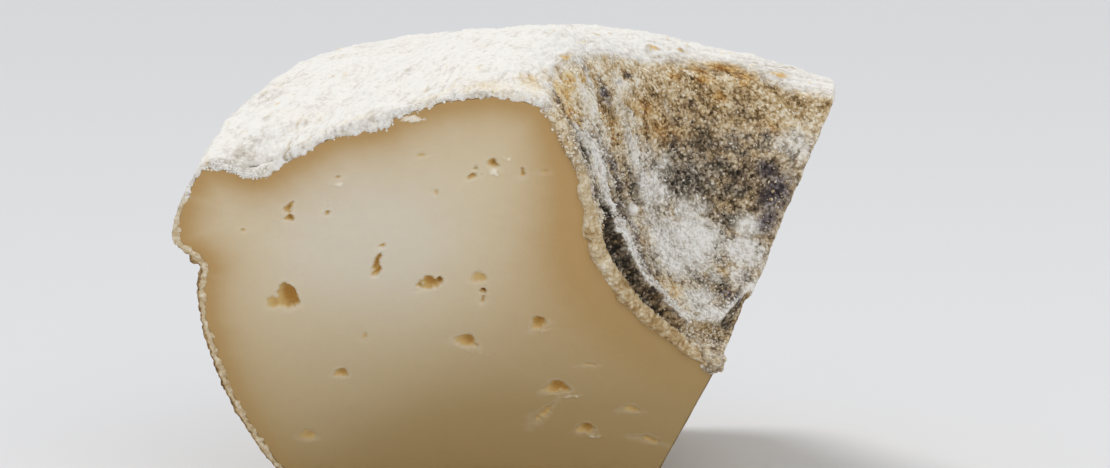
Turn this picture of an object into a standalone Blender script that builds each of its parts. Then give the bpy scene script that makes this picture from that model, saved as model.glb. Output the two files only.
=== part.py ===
# A quarter wedge of a small, round, aged cheese with a natural mouldy rind.
#
# The whole wheel is a turned shape: a deep crater in each flat side, a rounded rim round each crater,
# sloping shoulders, and a raised band round its waist with a notch above and below it.
# Two upright cuts through the wheel's middle give the wedge. It rests on its lower point
# and on the two ends of its lower rim, so the upper crater leans towards the viewer.
# Lengths are in metres, +Z is up, and the origin is under the middle of the wedge's box.

import math

import bmesh
import bpy
import numpy as np
from mathutils import Matrix, Vector, noise

MM = 0.001

# The wheel: radii from its axis, and heights from its middle plane.
WHEEL_RADIUS = 80.0 * MM
RIM_RADIUS = 43.2 * MM
RIM_HEIGHT = 37.1 * MM
UPPER_CRATER_FLOOR = 10.2 * MM
LOWER_CRATER_FLOOR = -13.8 * MM
NOTCH_RADIUS = 72.4 * MM
NOTCH_HEIGHT = 9.0 * MM
BAND_UPPER_EDGE = 6.6 * MM
BAND_LOWER_EDGE = -7.6 * MM

# The wedge: the angle between its cuts, and where the first cut lies as seen from above.
WEDGE_ANGLE = math.radians(98.4)
MIDDLE_AZIMUTH = math.radians(139.0)
FLAT_SPOT_DEPTH = 0.8 * MM

# Section of a crater from its middle (0) to its rim (1): how much of the crater's depth is left there.
CRATER_SECTION = [(0, 1), (0.17, 0.944), (0.30, 0.885), (0.40, 0.821), (0.53, 0.70), (0.625, 0.571),
                  (0.743, 0.336), (0.875, 0.149), (1, 0)]
# Section of a shoulder from the rim (0, 0) out and down to the notch (1, 1).
SHOULDER_SECTION = [(0, 0), (0.224, 0.05), (0.45, 0.217), (0.583, 0.367), (0.717, 0.512), (0.838, 0.687),
                    (0.938, 0.858), (1, 1)]
LOWER_SHOULDER_SECTION = [(0, 0), (0.175, 0.053), (0.27, 0.115), (0.455, 0.249), (0.658, 0.441), (0.818, 0.626),
                          (0.935, 0.794), (0.995, 0.93), (1, 1)]
# The lower crater is a little fuller than the upper one: its depth fractions are raised to this power.
LOWER_CRATER_POWER = 1.25

# How far the real wheel is from a turned one, as waves along the cut angle: one half wave, one whole
# wave and a steady change. The bulge moves the wall outwards and the lift raises the rims.
WALL_BULGE = (-2.45 * MM, -2.08 * MM, 0.39 * MM)
RIM_LIFT = (-4.64 * MM, 1.92 * MM, -0.60 * MM)

# The cuts meet on a line that crosses the wheel's axis at a small slant, in the first cut's plane.
EDGE_OFFSET = 0.17 * MM
EDGE_SLANT = 0.094
EDGE_REACH = 15.0 * MM

# The second cut wanders outwards by this share of the wedge's angle, at one distance from the axis.
SECOND_CUT_WANDER = 0.018
WANDER_RADIUS = 22.5 * MM
WANDER_WIDTH = 6.0 * MM

# Low swellings of the rind: radius, angle from the first cut (degrees), height and reach.
SWELLINGS = [(61.5 * MM, 40, 0.95 * MM, 6 * MM), (55.0 * MM, 47, -0.5 * MM, 7 * MM),
             (77.0 * MM, 26, 0.55 * MM, 14 * MM)]

# Steps of the mesh along each stretch of the wheel's section, and angles between its columns.
CRATER_STEPS = 22
SHOULDER_STEPS = 17
BAND_STEPS = 12
LOWER_SHOULDER_STEPS = 13
LOWER_CRATER_STEPS = 11
NEAR_CUT_ANGLE = math.radians(1.5)
NEAR_CUT_COLUMNS = 7
MIDDLE_COLUMNS = 38

# Relief of the rind: a rolled lip along the cut, the recess behind it, and the torn skin that ends there
# in a raised edge. Distances are measured from the cut.
LIP_WIDTH = 3.0 * MM
LIP_HEIGHT = 0.35 * MM
RECESS_DEPTH = 1.0 * MM
SKIN_EDGE_AT = 5.8 * MM
SKIN_EDGE_WIDTH = 0.8 * MM
SKIN_EDGE_HEIGHT = 0.9 * MM
SKIN_EDGE_FADE = 6.0 * MM
RECESS_FROM = 5.0 * MM
RECESS_TO = 30.0 * MM
PLEAT_SPACING = 4.6 * MM
PLEAT_HEIGHT = 0.35 * MM
PLEAT_REACH = 22.0 * MM
LUMP_SIZE = 11.0 * MM
LUMP_HEIGHT = 0.45 * MM
CRUST_SIZE = 3.2 * MM
CRUST_HEIGHT = 0.28 * MM
CALM_NEAR_CUT = 5.0 * MM

# Eyes of the first cut face: radius and height of the middle, width, length (mm) and turn (degrees).
FIRST_FACE_EYES = [
    (60.4, -8.1, 2.7, 3.9, 5), (51.6, 3.2, 1.6, 2.9, 15), (52.2, 6.0, 1.0, 1.5, -20), (43.7, 3.6, 2.2, 2.1, 20),
    (47.4, -15.9, 1.9, 1.3, 0), (38.2, 7.7, 2.2, 1.7, 10), (27.2, 4.9, 2.3, 2.0, 30), (34.6, -2.5, 2.8, 1.9, -10),
    (19.6, -3.6, 3.0, 2.2, 10), (18.9, -8.3, 1.3, 4.2, 35), (12.4, -8.0, 2.0, 1.8, 0), (8.5, -2.0, 1.8, 1.1, 0),
    (3.7, -5.4, 2.6, 1.1, 15), (46.8, -28.0, 2.2, 1.7, 0), (66.2, 5.7, 1.3, 1.5, 20), (64.9, 3.7, 1.1, 1.0, 0),
    (61.1, 7.3, 0.8, 1.6, 0), (62.4, 13.2, 1.4, 0.9, 10), (70.1, -0.7, 1.4, 0.8, 15), (46.7, 22.0, 1.8, 1.9, -30),
    (45.2, 25.1, 1.6, 1.2, -20), (40.9, 25.7, 0.9, 1.1, 0), (49.8, 17.4, 1.1, 0.9, 0), (54.3, 21.6, 1.1, 0.8, 0),
]
LARGE_EYE = 2.7
EYE_FRAME_TURN = math.radians(28.6)
EYE_DEPTH_SHARE = 0.42
EYE_UNEVENNESS = 0.22

# Eyes of the second cut face: a seeded scatter, this far apart and this far from the rind (mm).
SECOND_FACE_EYE_COUNT = 16
SECOND_FACE_SEED = 7
SECOND_FACE_SPACING = 7.0

# Finishes: name, colour and roughness of the paste, the pale rind of the wall and the mouldy craters.
FINISHES = [("paste", (0.72, 0.60, 0.42, 1.0), 0.45), ("rind", (0.80, 0.76, 0.68, 1.0), 0.9),
            ("mould", (0.42, 0.36, 0.28, 1.0), 0.95)]
PASTE, RIND, MOULD = range(3)


def smooth_curve(knots, steps):
    """Points at even steps of length along a Catmull-Rom curve through the knots."""
    knots = np.array(knots, float)
    padded = np.vstack([2 * knots[0] - knots[1], knots, 2 * knots[-1] - knots[-2]])
    u = np.linspace(0, 1, 24, endpoint=False)[:, None]
    pieces = []
    for a, b, c, d in zip(padded, padded[1:], padded[2:], padded[3:]):
        pieces.append(0.5 * (2 * b + (c - a) * u + (2 * a - 5 * b + 4 * c - d) * u**2
                             + (3 * b - a - 3 * c + d) * u**3))
    fine = np.vstack(pieces + [knots[-1:]])
    length = np.concatenate([[0], np.cumsum(np.linalg.norm(np.diff(fine, axis=0), axis=1))])
    even = np.linspace(0, length[-1], steps + 1)
    return np.column_stack([np.interp(even, length, fine[:, 0]), np.interp(even, length, fine[:, 1])])


def wheel_section():
    """The wheel's section as (radius, height) points, from the upper crater's middle to the lower one's."""
    upper_depth = RIM_HEIGHT - UPPER_CRATER_FLOOR
    lower_depth = RIM_HEIGHT + LOWER_CRATER_FLOOR
    upper = [(RIM_RADIUS * u, RIM_HEIGHT - upper_depth * left) for u, left in CRATER_SECTION]
    lower = [(RIM_RADIUS * u, -RIM_HEIGHT + lower_depth * left**LOWER_CRATER_POWER)
             for u, left in reversed(CRATER_SECTION)]
    drop = RIM_HEIGHT - NOTCH_HEIGHT
    reach = NOTCH_RADIUS - RIM_RADIUS
    shoulder = [(RIM_RADIUS + reach * u, RIM_HEIGHT - drop * v) for u, v in SHOULDER_SECTION]
    lower_shoulder = [(RIM_RADIUS + reach * u, -RIM_HEIGHT + drop * v)
                      for u, v in reversed(LOWER_SHOULDER_SECTION)]
    middle = 0.5 * (BAND_UPPER_EDGE + BAND_LOWER_EDGE)
    band = [(NOTCH_RADIUS, NOTCH_HEIGHT), (0.987 * WHEEL_RADIUS, BAND_UPPER_EDGE + 0.3 * MM),
            (WHEEL_RADIUS, BAND_UPPER_EDGE - 1.6 * MM), (0.994 * WHEEL_RADIUS, middle - 1.5 * MM),
            (0.976 * WHEEL_RADIUS, BAND_LOWER_EDGE + 0.8 * MM), (0.95 * WHEEL_RADIUS, BAND_LOWER_EDGE - 0.4 * MM),
            (NOTCH_RADIUS, -NOTCH_HEIGHT)]
    stretches = [(upper, CRATER_STEPS), (shoulder, SHOULDER_STEPS), (band, BAND_STEPS),
                 (lower_shoulder, LOWER_SHOULDER_STEPS), (lower, LOWER_CRATER_STEPS)]
    curves = [smooth_curve(knots, steps) for knots, steps in stretches]
    return np.vstack([curves[0]] + [curve[1:] for curve in curves[1:]])


def column_fractions():
    """Places of the mesh's columns between the cuts, 0 at the first and 1 at the second, closer near both."""
    near = NEAR_CUT_ANGLE * np.arange(NEAR_CUT_COLUMNS)
    middle = np.linspace(near[-1], WEDGE_ANGLE - near[-1], MIDDLE_COLUMNS + 1)[1:-1]
    return np.concatenate([near, middle, WEDGE_ANGLE - near[::-1]]) / WEDGE_ANGLE


def waves(amounts, t):
    half, whole, steady = amounts
    return half * np.sin(np.pi * t) + whole * np.sin(2 * np.pi * t) + steady * t


def direction(azimuth):
    return np.stack([np.cos(azimuth), np.sin(azimuth), np.zeros_like(azimuth)], -1)


def edge_drift(z):
    """How far the line where the cuts meet lies from the wheel's axis, along the first cut."""
    return EDGE_OFFSET + EDGE_SLANT * z


def bump(x):
    return np.exp(-x * x)


def wheel_surface(section, t):
    """Points of the rind: rows along the wheel's section and columns across the wedge."""
    radius, height = section[:, :1], section[:, 1:]
    on_wall = np.clip((radius - RIM_RADIUS) / (20 * MM), 0, 1)
    inside = np.clip(radius / RIM_RADIUS, 0, 1) ** 2
    outside = np.clip((WHEEL_RADIUS - radius) / (WHEEL_RADIUS - RIM_RADIUS), 0, 1)
    near_rim = np.where(radius < RIM_RADIUS, inside, outside)
    r = radius + on_wall * waves(WALL_BULGE, t)
    z = height + np.sign(height) * near_rim * waves(RIM_LIFT, t)
    angle = WEDGE_ANGLE * t * (1 + SECOND_CUT_WANDER * bump((radius - WANDER_RADIUS) / WANDER_WIDTH))
    first = direction(np.array(MIDDLE_AZIMUTH + WEDGE_ANGLE / 2))
    outward = direction(MIDDLE_AZIMUTH + WEDGE_ANGLE / 2 - angle)
    drift = np.clip(1 - radius / EDGE_REACH, 0, 1) ** 2 * edge_drift(height)
    points = r[..., None] * outward + drift[..., None] * first
    points[..., 2] += z
    return points, r, angle


def smooth_step(x):
    x = np.clip(x, 0, 1)
    return x * x * (3 - 2 * x)


def seam_relief(radius, from_cut):
    """Lip, recess and torn skin's edge beside a cut, by distance from it."""
    along = smooth_step((radius - RECESS_FROM) / (5 * MM)) * smooth_step((RECESS_TO - radius) / (8 * MM))
    wander = 0.7 * MM * np.sin(radius / (2.6 * MM)) + 0.35 * MM * np.sin(radius / (1.1 * MM) + 1.0)
    edge = SKIN_EDGE_AT + wander
    lip = LIP_HEIGHT * bump((from_cut - 0.5 * LIP_WIDTH) / (0.5 * LIP_WIDTH))
    recess = -RECESS_DEPTH * smooth_step((from_cut - LIP_WIDTH) / (1.5 * MM)) * (from_cut < edge)
    beyond = from_cut - edge
    rise = smooth_step(beyond / SKIN_EDGE_WIDTH + 0.5)
    skin = rise * (SKIN_EDGE_HEIGHT + RECESS_DEPTH) * np.exp(-np.maximum(beyond, 0) / SKIN_EDGE_FADE)
    recess_floor = -RECESS_DEPTH * (from_cut >= edge) * np.exp(-np.maximum(beyond, 0) / SKIN_EDGE_FADE)
    return along * (lip + recess + recess_floor + skin)


def relief(points, section, radius, angle):
    """Height of the rind's relief at every point of the surface."""
    rows = len(section)
    row = np.arange(rows)[:, None]
    above = CRATER_STEPS + SHOULDER_STEPS + BAND_STEPS
    in_upper = row <= CRATER_STEPS
    in_lower = row >= rows - 1 - LOWER_CRATER_STEPS
    from_first = radius * np.sin(np.minimum(angle, math.pi / 2))
    from_second = radius * np.sin(np.clip(WEDGE_ANGLE - angle, 0, math.pi / 2))
    craters = seam_relief(radius, from_first) + 0.5 * seam_relief(radius, from_second)
    pleats = PLEAT_HEIGHT * np.sin(2 * np.pi * from_first / PLEAT_SPACING)
    pleats = pleats * smooth_step(radius / (12 * MM)) * smooth_step(2 - 2 * from_first / PLEAT_REACH)
    height = np.where(in_upper | in_lower, craters + pleats, 0)
    for r, degrees, high, reach in SWELLINGS:
        away = np.hypot(radius - r, radius * (angle - math.radians(degrees)))
        height = height + np.where(row < above, high * bump(away / reach), 0)
    lumps = [LUMP_HEIGHT * noise.noise(Vector(p) / LUMP_SIZE) + CRUST_HEIGHT * noise.noise(Vector(p) / CRUST_SIZE)
             for p in points.reshape(-1, 3)]
    calm = 0.2 + 0.8 * smooth_step(np.minimum(from_first, from_second) / CALM_NEAR_CUT)
    at_middle = np.clip(radius / (6 * MM), 0, 1)
    return (height + calm * np.reshape(lumps, height.shape)) * at_middle


def surface_normals(points):
    """Outward directions of the grid, turned into the cut's own plane at its first and last column."""
    along = np.gradient(points, axis=0)
    across = np.gradient(points, axis=1)
    normals = np.cross(along, across)
    for column, side in ((0, 1), (-1, -1)):
        azimuth = np.array(MIDDLE_AZIMUTH + side * WEDGE_ANGLE / 2)
        off_plane = np.cross([0, 0, 1], direction(azimuth))
        normals[:, column] -= np.outer(normals[:, column] @ off_plane, off_plane)
    length = np.linalg.norm(normals, axis=-1, keepdims=True)
    normals = normals / np.maximum(length, 1e-12)
    middle = points.mean(axis=(0, 1))
    if np.sum(normals * (points - middle)) < 0:
        normals = -normals
    return normals


def rind_points():
    section = wheel_section()
    t = column_fractions()
    points, radius, angle = wheel_surface(section, t)
    points = points + surface_normals(points) * relief(points, section, radius, angle)[..., None]
    points[0] = points[0].mean(axis=0)
    points[-1] = points[-1].mean(axis=0)
    return points


def rest_turn(points):
    """The turn that sets the lower point and the two ends of the lower rim on one level plane."""
    tip = Vector(points[-1, 0])
    feet = []
    for column in (0, -1):
        outline = points[1:-1, column]
        across = np.linalg.norm(outline[:, :2], axis=1)
        slope = (tip.z - outline[:, 2]) / np.maximum(across, 10 * MM)
        feet.append(Vector(outline[int(np.argmax(slope))]))
    up = (feet[0] - tip).cross(feet[1] - tip).normalized()
    if up.z < 0:
        up = -up
    return up.rotation_difference(Vector((0, 0, 1))).to_matrix().to_4x4(), tip


def wedge_mesh(points):
    """The closed wedge: the rind's grid, with the two cut faces as flat outlines between its end columns."""
    rows, columns = points.shape[:2]
    shell = bmesh.new()
    top = shell.verts.new(points[0, 0])
    bottom = shell.verts.new(points[-1, 0])
    grid = [[shell.verts.new(p) for p in row] for row in points[1:-1]]
    for j in range(columns - 1):
        shell.faces.new((top, grid[0][j + 1], grid[0][j])).material_index = MOULD
        shell.faces.new((bottom, grid[-1][j], grid[-1][j + 1])).material_index = MOULD
        for i in range(rows - 3):
            face = shell.faces.new((grid[i][j], grid[i][j + 1], grid[i + 1][j + 1], grid[i + 1][j]))
            in_crater = i < CRATER_STEPS - 1 or i > rows - 3 - LOWER_CRATER_STEPS
            face.material_index = MOULD if in_crater else RIND
            face.smooth = True
    first_cut = shell.faces.new([top] + [row[0] for row in grid] + [bottom])
    second_cut = shell.faces.new([bottom] + [row[-1] for row in reversed(grid)] + [top])
    first_cut.material_index = second_cut.material_index = PASTE
    bmesh.ops.recalc_face_normals(shell, faces=shell.faces)
    return shell


def cut_flat_spots(shell):
    """Takes a thin slice off the feet and closes the openings, so that the wedge stands on flat spots."""
    level = Vector((0, 0, min(v.co.z for v in shell.verts) + FLAT_SPOT_DEPTH))
    geometry = list(shell.verts) + list(shell.edges) + list(shell.faces)
    bmesh.ops.bisect_plane(shell, geom=geometry, plane_co=level, plane_no=(0, 0, 1), clear_inner=True)
    rim = [edge for edge in shell.edges if edge.is_boundary]
    bmesh.ops.holes_fill(shell, edges=rim, sides=0)
    bmesh.ops.recalc_face_normals(shell, faces=shell.faces)


def eye_shape(centre, across, along, inward, width, length, detail, seed):
    """One uneven, rounded pit whose middle lies on the cut face."""
    ball = bmesh.new()
    bmesh.ops.create_icosphere(ball, subdivisions=detail, radius=1.0)
    depth = EYE_DEPTH_SHARE * (width + length)
    for vert in ball.verts:
        swell = 1 + EYE_UNEVENNESS * noise.noise(vert.co * 1.6 + Vector((seed * 3.7, 0, 0)))
        x, y, z = vert.co * swell
        vert.co = (centre + Vector(across) * (x * width * MM / 2) + Vector(along) * (y * length * MM / 2)
                   + Vector(inward) * (z * depth * MM))
    return ball


def eyes_on_face(eyes, azimuth, inward, finest):
    """One shape for each eye of a cut face that holds the wheel's axis."""
    outward = Vector(direction(np.array(azimuth)))
    upward = Vector((0, 0, 1))
    shapes = []
    for number, (radius, height, width, length, turn) in enumerate(eyes):
        angle = EYE_FRAME_TURN + math.radians(turn)
        across = -math.cos(angle) * outward + math.sin(angle) * upward
        along = math.sin(angle) * outward + math.cos(angle) * upward
        centre = (outward * radius + upward * height) * MM
        detail = finest if max(width, length) > LARGE_EYE else 2
        shapes.append(eye_shape(centre, across, along, inward, width, length, detail, number + 100 * azimuth))
    return shapes


def second_face_eyes():
    """Eyes of the second cut face, scattered like those of the first with a seeded draw."""
    draw = np.random.default_rng(SECOND_FACE_SEED)
    eyes = []
    while len(eyes) < SECOND_FACE_EYE_COUNT:
        radius, height = draw.uniform(5, 72), draw.uniform(-28, 28)
        inside = abs(height) < min(0.62 * radius, 0.8 * (82 - radius))
        apart = all(math.hypot(radius - r, height - z) > SECOND_FACE_SPACING for r, z, *_ in eyes)
        if inside and apart:
            width = draw.uniform(1.0, 2.8)
            eyes.append((radius, height, width, width * draw.uniform(0.7, 1.5), draw.uniform(-40, 40)))
    return eyes


def make_material(name, colour, roughness):
    material = bpy.data.materials.new(name)
    material.use_nodes = True
    shader = material.node_tree.nodes["Principled BSDF"]
    shader.inputs["Base Color"].default_value = colour
    shader.inputs["Roughness"].default_value = roughness
    shader.inputs["Metallic"].default_value = 0.0
    return material


def add_object(name, shape, turn, materials):
    mesh = bpy.data.meshes.new(name)
    shape.to_mesh(mesh)
    shape.free()
    mesh.transform(turn)
    for material in materials:
        mesh.materials.append(material)
    thing = bpy.data.objects.new(name, mesh)
    bpy.context.scene.collection.objects.link(thing)
    return thing


def merge(shapes):
    """All eye shapes as one mesh."""
    whole = bmesh.new()
    for shape in shapes:
        piece = bpy.data.meshes.new("eye")
        shape.to_mesh(piece)
        shape.free()
        whole.from_mesh(piece)
        bpy.data.meshes.remove(piece)
    bmesh.ops.recalc_face_normals(whole, faces=whole.faces)
    return whole


def main():
    for thing in list(bpy.data.objects):
        bpy.data.objects.remove(thing)

    points = rind_points()
    turn, tip = rest_turn(points)
    shell = wedge_mesh(points)
    bmesh.ops.transform(shell, matrix=turn @ Matrix.Translation(-tip), verts=shell.verts)
    cut_flat_spots(shell)
    low = Vector([min(v.co[k] for v in shell.verts) for k in range(3)])
    high = Vector([max(v.co[k] for v in shell.verts) for k in range(3)])
    to_origin = Matrix.Translation(Vector((-(low.x + high.x) / 2, -(low.y + high.y) / 2, -low.z)))
    placing = to_origin @ turn @ Matrix.Translation(-tip)

    materials = [make_material(*finish) for finish in FINISHES]
    wedge = add_object("cheese_wedge", shell, to_origin, materials)

    first_azimuth = MIDDLE_AZIMUTH + WEDGE_ANGLE / 2
    second_azimuth = MIDDLE_AZIMUTH - WEDGE_ANGLE / 2
    first_inward = Vector(direction(np.array(first_azimuth))).cross(Vector((0, 0, 1)))
    second_inward = -Vector(direction(np.array(second_azimuth))).cross(Vector((0, 0, 1)))
    shapes = eyes_on_face(FIRST_FACE_EYES, first_azimuth, first_inward, 3)
    shapes += eyes_on_face(second_face_eyes(), second_azimuth, second_inward, 2)
    eyes = add_object("eyes", merge(shapes), placing, materials[:1])
    eyes.hide_render = True
    eyes.display_type = "WIRE"

    pits = wedge.modifiers.new("eyes", "BOOLEAN")
    pits.operation = "DIFFERENCE"
    pits.object = eyes


main()
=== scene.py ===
import functools
import itertools
import math

import bpy
import numpy as np
from mathutils import Matrix, Vector


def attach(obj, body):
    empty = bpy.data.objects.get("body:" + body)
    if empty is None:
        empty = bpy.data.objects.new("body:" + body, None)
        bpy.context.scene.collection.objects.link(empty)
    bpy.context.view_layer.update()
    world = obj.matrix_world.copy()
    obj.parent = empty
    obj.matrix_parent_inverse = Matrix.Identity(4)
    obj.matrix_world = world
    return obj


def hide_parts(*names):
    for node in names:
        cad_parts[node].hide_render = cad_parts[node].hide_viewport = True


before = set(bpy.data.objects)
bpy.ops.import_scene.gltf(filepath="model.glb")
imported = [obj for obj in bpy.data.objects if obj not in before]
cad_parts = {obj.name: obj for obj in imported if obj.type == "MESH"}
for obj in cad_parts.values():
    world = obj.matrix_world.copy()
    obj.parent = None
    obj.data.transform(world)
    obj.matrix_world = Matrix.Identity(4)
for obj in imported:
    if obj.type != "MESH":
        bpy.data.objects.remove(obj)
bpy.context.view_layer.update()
node = "cheese_wedge"
mm = 0.001
print("frame loaded")

# The whole wheel that the wedge was cut from. Lengths are in millimetres and angles in degrees, with the
# wheel's middle at the origin and its axis up. The lean sets the wedge down on its three feet.
wheel = {
    "radius": 80.0, "rimRadius": 43.2, "rimHeight": 37.1, "upperFloor": 10.2, "lowerFloor": -13.8,
    "notchRadius": 72.4, "notchHeight": 9.0, "bandTop": 6.6, "bandFoot": -7.6,
    "wedgeAngle": 98.4, "middleAzimuth": 139.0,
    "bulge": (-2.45, -2.08, 0.39), "bulgeFade": 20.0, "lift": (-4.64, 1.92, -0.60),
    "edgeOffset": 0.17, "edgeSlant": 0.094, "edgeReach": 15.0,
    "wander": 0.018, "wanderAt": 22.5, "wanderWidth": 6.0,
    "leanAxis": 49.641, "leanAngle": 39.338,
    "lowerPoint": (1.116, 0.161, -13.8), "lowerPointAt": (18.740, -17.695, -0.800),
    # sections: share of the way out, and depth left (crater) or share of the drop done (shoulders)
    "crater": [(0, 1), (0.17, 0.944), (0.30, 0.885), (0.40, 0.821), (0.53, 0.70), (0.625, 0.571),
               (0.743, 0.336), (0.875, 0.149), (1, 0)],
    "shoulder": [(0, 0), (0.224, 0.05), (0.45, 0.217), (0.583, 0.367), (0.717, 0.512), (0.838, 0.687),
                 (0.938, 0.858), (1, 1)],
    "lowerShoulder": [(0, 0), (0.175, 0.053), (0.27, 0.115), (0.455, 0.249), (0.658, 0.441), (0.818, 0.626),
                      (0.935, 0.794), (0.995, 0.93), (1, 1)],
    "lowerCraterPower": 1.25,
    # the band: share of the radius, and millimetres above its top, middle or foot
    "band": [(0.987, "top", 0.3), (1, "top", -1.6), (0.994, "middle", -1.5), (0.976, "foot", 0.8),
             (0.95, "foot", -0.4)],
    "sectionStep": 0.1, "wear": 0.75,                     # millimetres: corners are worn round
    # the lower crater's floor sags outside its middle
    "sag": 1.7, "sagRadius": 21.0, "sagReach": 12.0, "sagBlend": 8.0,
    # the notch lies open at the cuts and is filled flush with mould away from them
    "fillBefore": 9.5, "fillAfter": 7.6, "fillCrown": 0.5, "fillShare": 0.92, "fillFrom": 1.2,
    "fillFade": 8.0,
}
wedgeAngle = math.radians(wheel["wedgeAngle"])
firstAzimuth = math.radians(wheel["middleAzimuth"]) + wedgeAngle / 2
secondAzimuth = firstAzimuth - wedgeAngle


def smoothStep(x):
    # 0 below nought, 1 above one, and 3xx - 2xxx between
    x = np.clip(x, 0, 1)
    return x * x * (3 - 2 * x)


def rising(x, start, reach):
    # 0 up to start, 1 from one reach further on
    return smoothStep((x - start) / reach)


def falling(x, end, reach):
    # 1 as far as one reach before the end, 0 from the end on
    return smoothStep((end - x) / reach)


def bump(x):
    # a bell, e to the power of minus x squared
    return np.exp(-x * x)


def between(x, low, high, soft):
    # 1 from low to high, falling to 0 over soft on both sides
    return smoothStep((x - low) / soft + 0.5) * smoothStep((high - x) / soft + 0.5)


def highest(*values):
    # the greatest of the arrays at each place
    return functools.reduce(np.maximum, values)


def onTable(x, pairs):
    # value at x on the straight lines through the pairs
    return np.interp(x, *np.array(pairs).T)


def weighed(base, amounts, parts):
    # the base, and every part times its own amount
    return base + sum(amount * parts[name] for name, amount in amounts.items())


def waves(amounts, t):
    # one half wave, one whole wave and a steady change across the wedge
    return amounts[0] * np.sin(np.pi * t) + amounts[1] * np.sin(2 * np.pi * t) + amounts[2] * t


def direction(azimuth):
    # level direction: cosine, sine and nought
    return np.stack([np.cos(azimuth), np.sin(azimuth), np.zeros_like(azimuth)], -1)


def unit(v):
    # each vector over its own length
    return v / np.maximum(np.linalg.norm(v, axis=-1, keepdims=True), 1e-12)


# Random fields. All draws come from one seeded table, so every run gives the same cheese.
draw = np.random.default_rng(41)
slopes = unit(draw.normal(size=(1024, 3)))
jitter = draw.uniform(0.1, 0.9, size=(1024, 3))
shares = draw.uniform(size=1024)


def cellKey(cell):
    # one of the 1,024 draws for each cell of a lattice, by three primes
    return (cell[..., 0] * 73856093 ^ cell[..., 1] * 19349663 ^ cell[..., 2] * 83492791) & 1023


def gradientNoise(p, size, seed=0):
    # smooth field of about -1 to 1: slopes at the corners of a lattice, blended by a quintic step
    q = p / size + seed * np.array([13.7, 7.3, 31.1])
    cell = np.floor(q).astype(np.int64)
    f = q - cell
    w = f * f * f * (f * (f * 6 - 15) + 10)
    total = np.zeros(p.shape[:-1])
    for corner in itertools.product((0, 1), repeat=3):
        c = np.array(corner)
        share = np.prod(np.where(c == 1, w, 1 - w), axis=-1)
        total += share * ((f - c) * slopes[cellKey(cell + c)]).sum(-1)
    return 1.6 * total


def layeredNoise(p, size, layers, seed=0):
    # the field above at halving sizes and falling weights
    total = sum(0.55**k * gradientNoise(p, size / 2**k, seed + k) for k in range(layers))
    return total / sum(0.55**k for k in range(layers))


def cellNoise(p, size, seed=0):
    # distance to the nearest of the points scattered one to a cell, in cells, and that point's own share
    q = p / size + seed * np.array([5.1, 17.9, 11.3])
    cell = np.floor(q).astype(np.int64)
    nearest = np.full(p.shape[:-1], 9.0)
    share = np.zeros(p.shape[:-1])
    for offset in itertools.product((-1, 0, 1), repeat=3):
        c = cell + np.array(offset)
        key = cellKey(c)
        away = np.linalg.norm(c + jitter[key] - q, axis=-1)
        closer = away < nearest
        nearest = np.where(closer, away, nearest)
        share = np.where(closer, shares[key], share)
    return nearest, share


def stretched(u, v):
    # places on a plane, for a noise that is drawn out along one of the two
    return np.stack([u, v, 0 * u], -1)


def ridges(u, v, seed, sharp=2.4):
    # 1 on the lines where a plane noise passes through nought, less on both sides
    return 1 - sharp * np.abs(gradientNoise(stretched(u, v), 1.0, seed))


def smoothCurve(knots, steps=24):
    # Catmull-Rom curve through the knots
    knots = np.array(knots, float)
    padded = np.vstack([2 * knots[0] - knots[1], knots, 2 * knots[-1] - knots[-2]])
    a, b, c, d = padded[:-3, None], padded[1:-2, None], padded[2:-1, None], padded[3:, None]
    u = np.linspace(0, 1, steps, endpoint=False)[None, :, None]
    curve = 0.5 * (2 * b + (c - a) * u + (2 * a - 5 * b + 4 * c - d) * u**2 + (3 * b - a - 3 * c + d) * u**3)
    return np.vstack([curve.reshape(-1, knots.shape[1]), knots[-1:]])


def wheelSection():
    # the section's length, radius and height from the upper crater's middle round to the lower one's,
    # and the lengths at which the crater, shoulder, band, lower shoulder and lower crater end
    w = wheel
    rim, top, notch = w["rimRadius"], w["rimHeight"], w["notchRadius"]
    reach, drop = notch - rim, top - w["notchHeight"]
    upper = [(rim * u, top - (top - w["upperFloor"]) * left) for u, left in w["crater"]]
    shoulder = [(rim + reach * u, top - drop * v) for u, v in w["shoulder"]]
    bandHeights = {"top": w["bandTop"], "middle": 0.5 * (w["bandTop"] + w["bandFoot"]), "foot": w["bandFoot"]}
    band = [(out * w["radius"], bandHeights[level] + up) for out, level, up in w["band"]]
    band = [(notch, w["notchHeight"]), *band, (notch, -w["notchHeight"])]
    lowerShoulder = [(rim + reach * u, -top + drop * v) for u, v in reversed(w["lowerShoulder"])]
    lower = [(rim * u, -top + (top + w["lowerFloor"]) * left**w["lowerCraterPower"])
             for u, left in reversed(w["crater"])]
    curves = [smoothCurve(knots) for knots in (upper, shoulder, band, lowerShoulder, lower)]
    points = np.vstack([curves[0]] + [curve[1:] for curve in curves[1:]])
    length = np.concatenate([[0], np.cumsum(np.linalg.norm(np.diff(points, axis=0), axis=1))])
    ends = length[np.cumsum([len(curve) - 1 for curve in curves])]
    even = np.linspace(0, length[-1], int(length[-1] / w["sectionStep"]) + 1)
    points = np.stack([np.interp(even, length, points[:, k]) for k in (0, 1)], -1)
    sagging = bump((points[:, 0] - w["sagRadius"]) / w["sagReach"]) * rising(even, ends[3], w["sagBlend"])
    points[:, 1] -= w["sag"] * sagging
    return even, worn(points), ends


def worn(points):
    # the section with its corners worn round, by a running mean weighted as a bell, ends kept in place
    reach = int(3 * wheel["wear"] / wheel["sectionStep"])
    weights = bump(np.arange(-reach, reach + 1) * wheel["sectionStep"] / (1.4142 * wheel["wear"]))
    before, after = 2 * points[0] - points[reach:0:-1], 2 * points[-1] - points[-2:-reach - 2:-1]
    padded = np.vstack([before, points, after])
    return np.stack([np.convolve(padded[:, k], weights / weights.sum(), "valid") for k in (0, 1)], -1)


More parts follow.
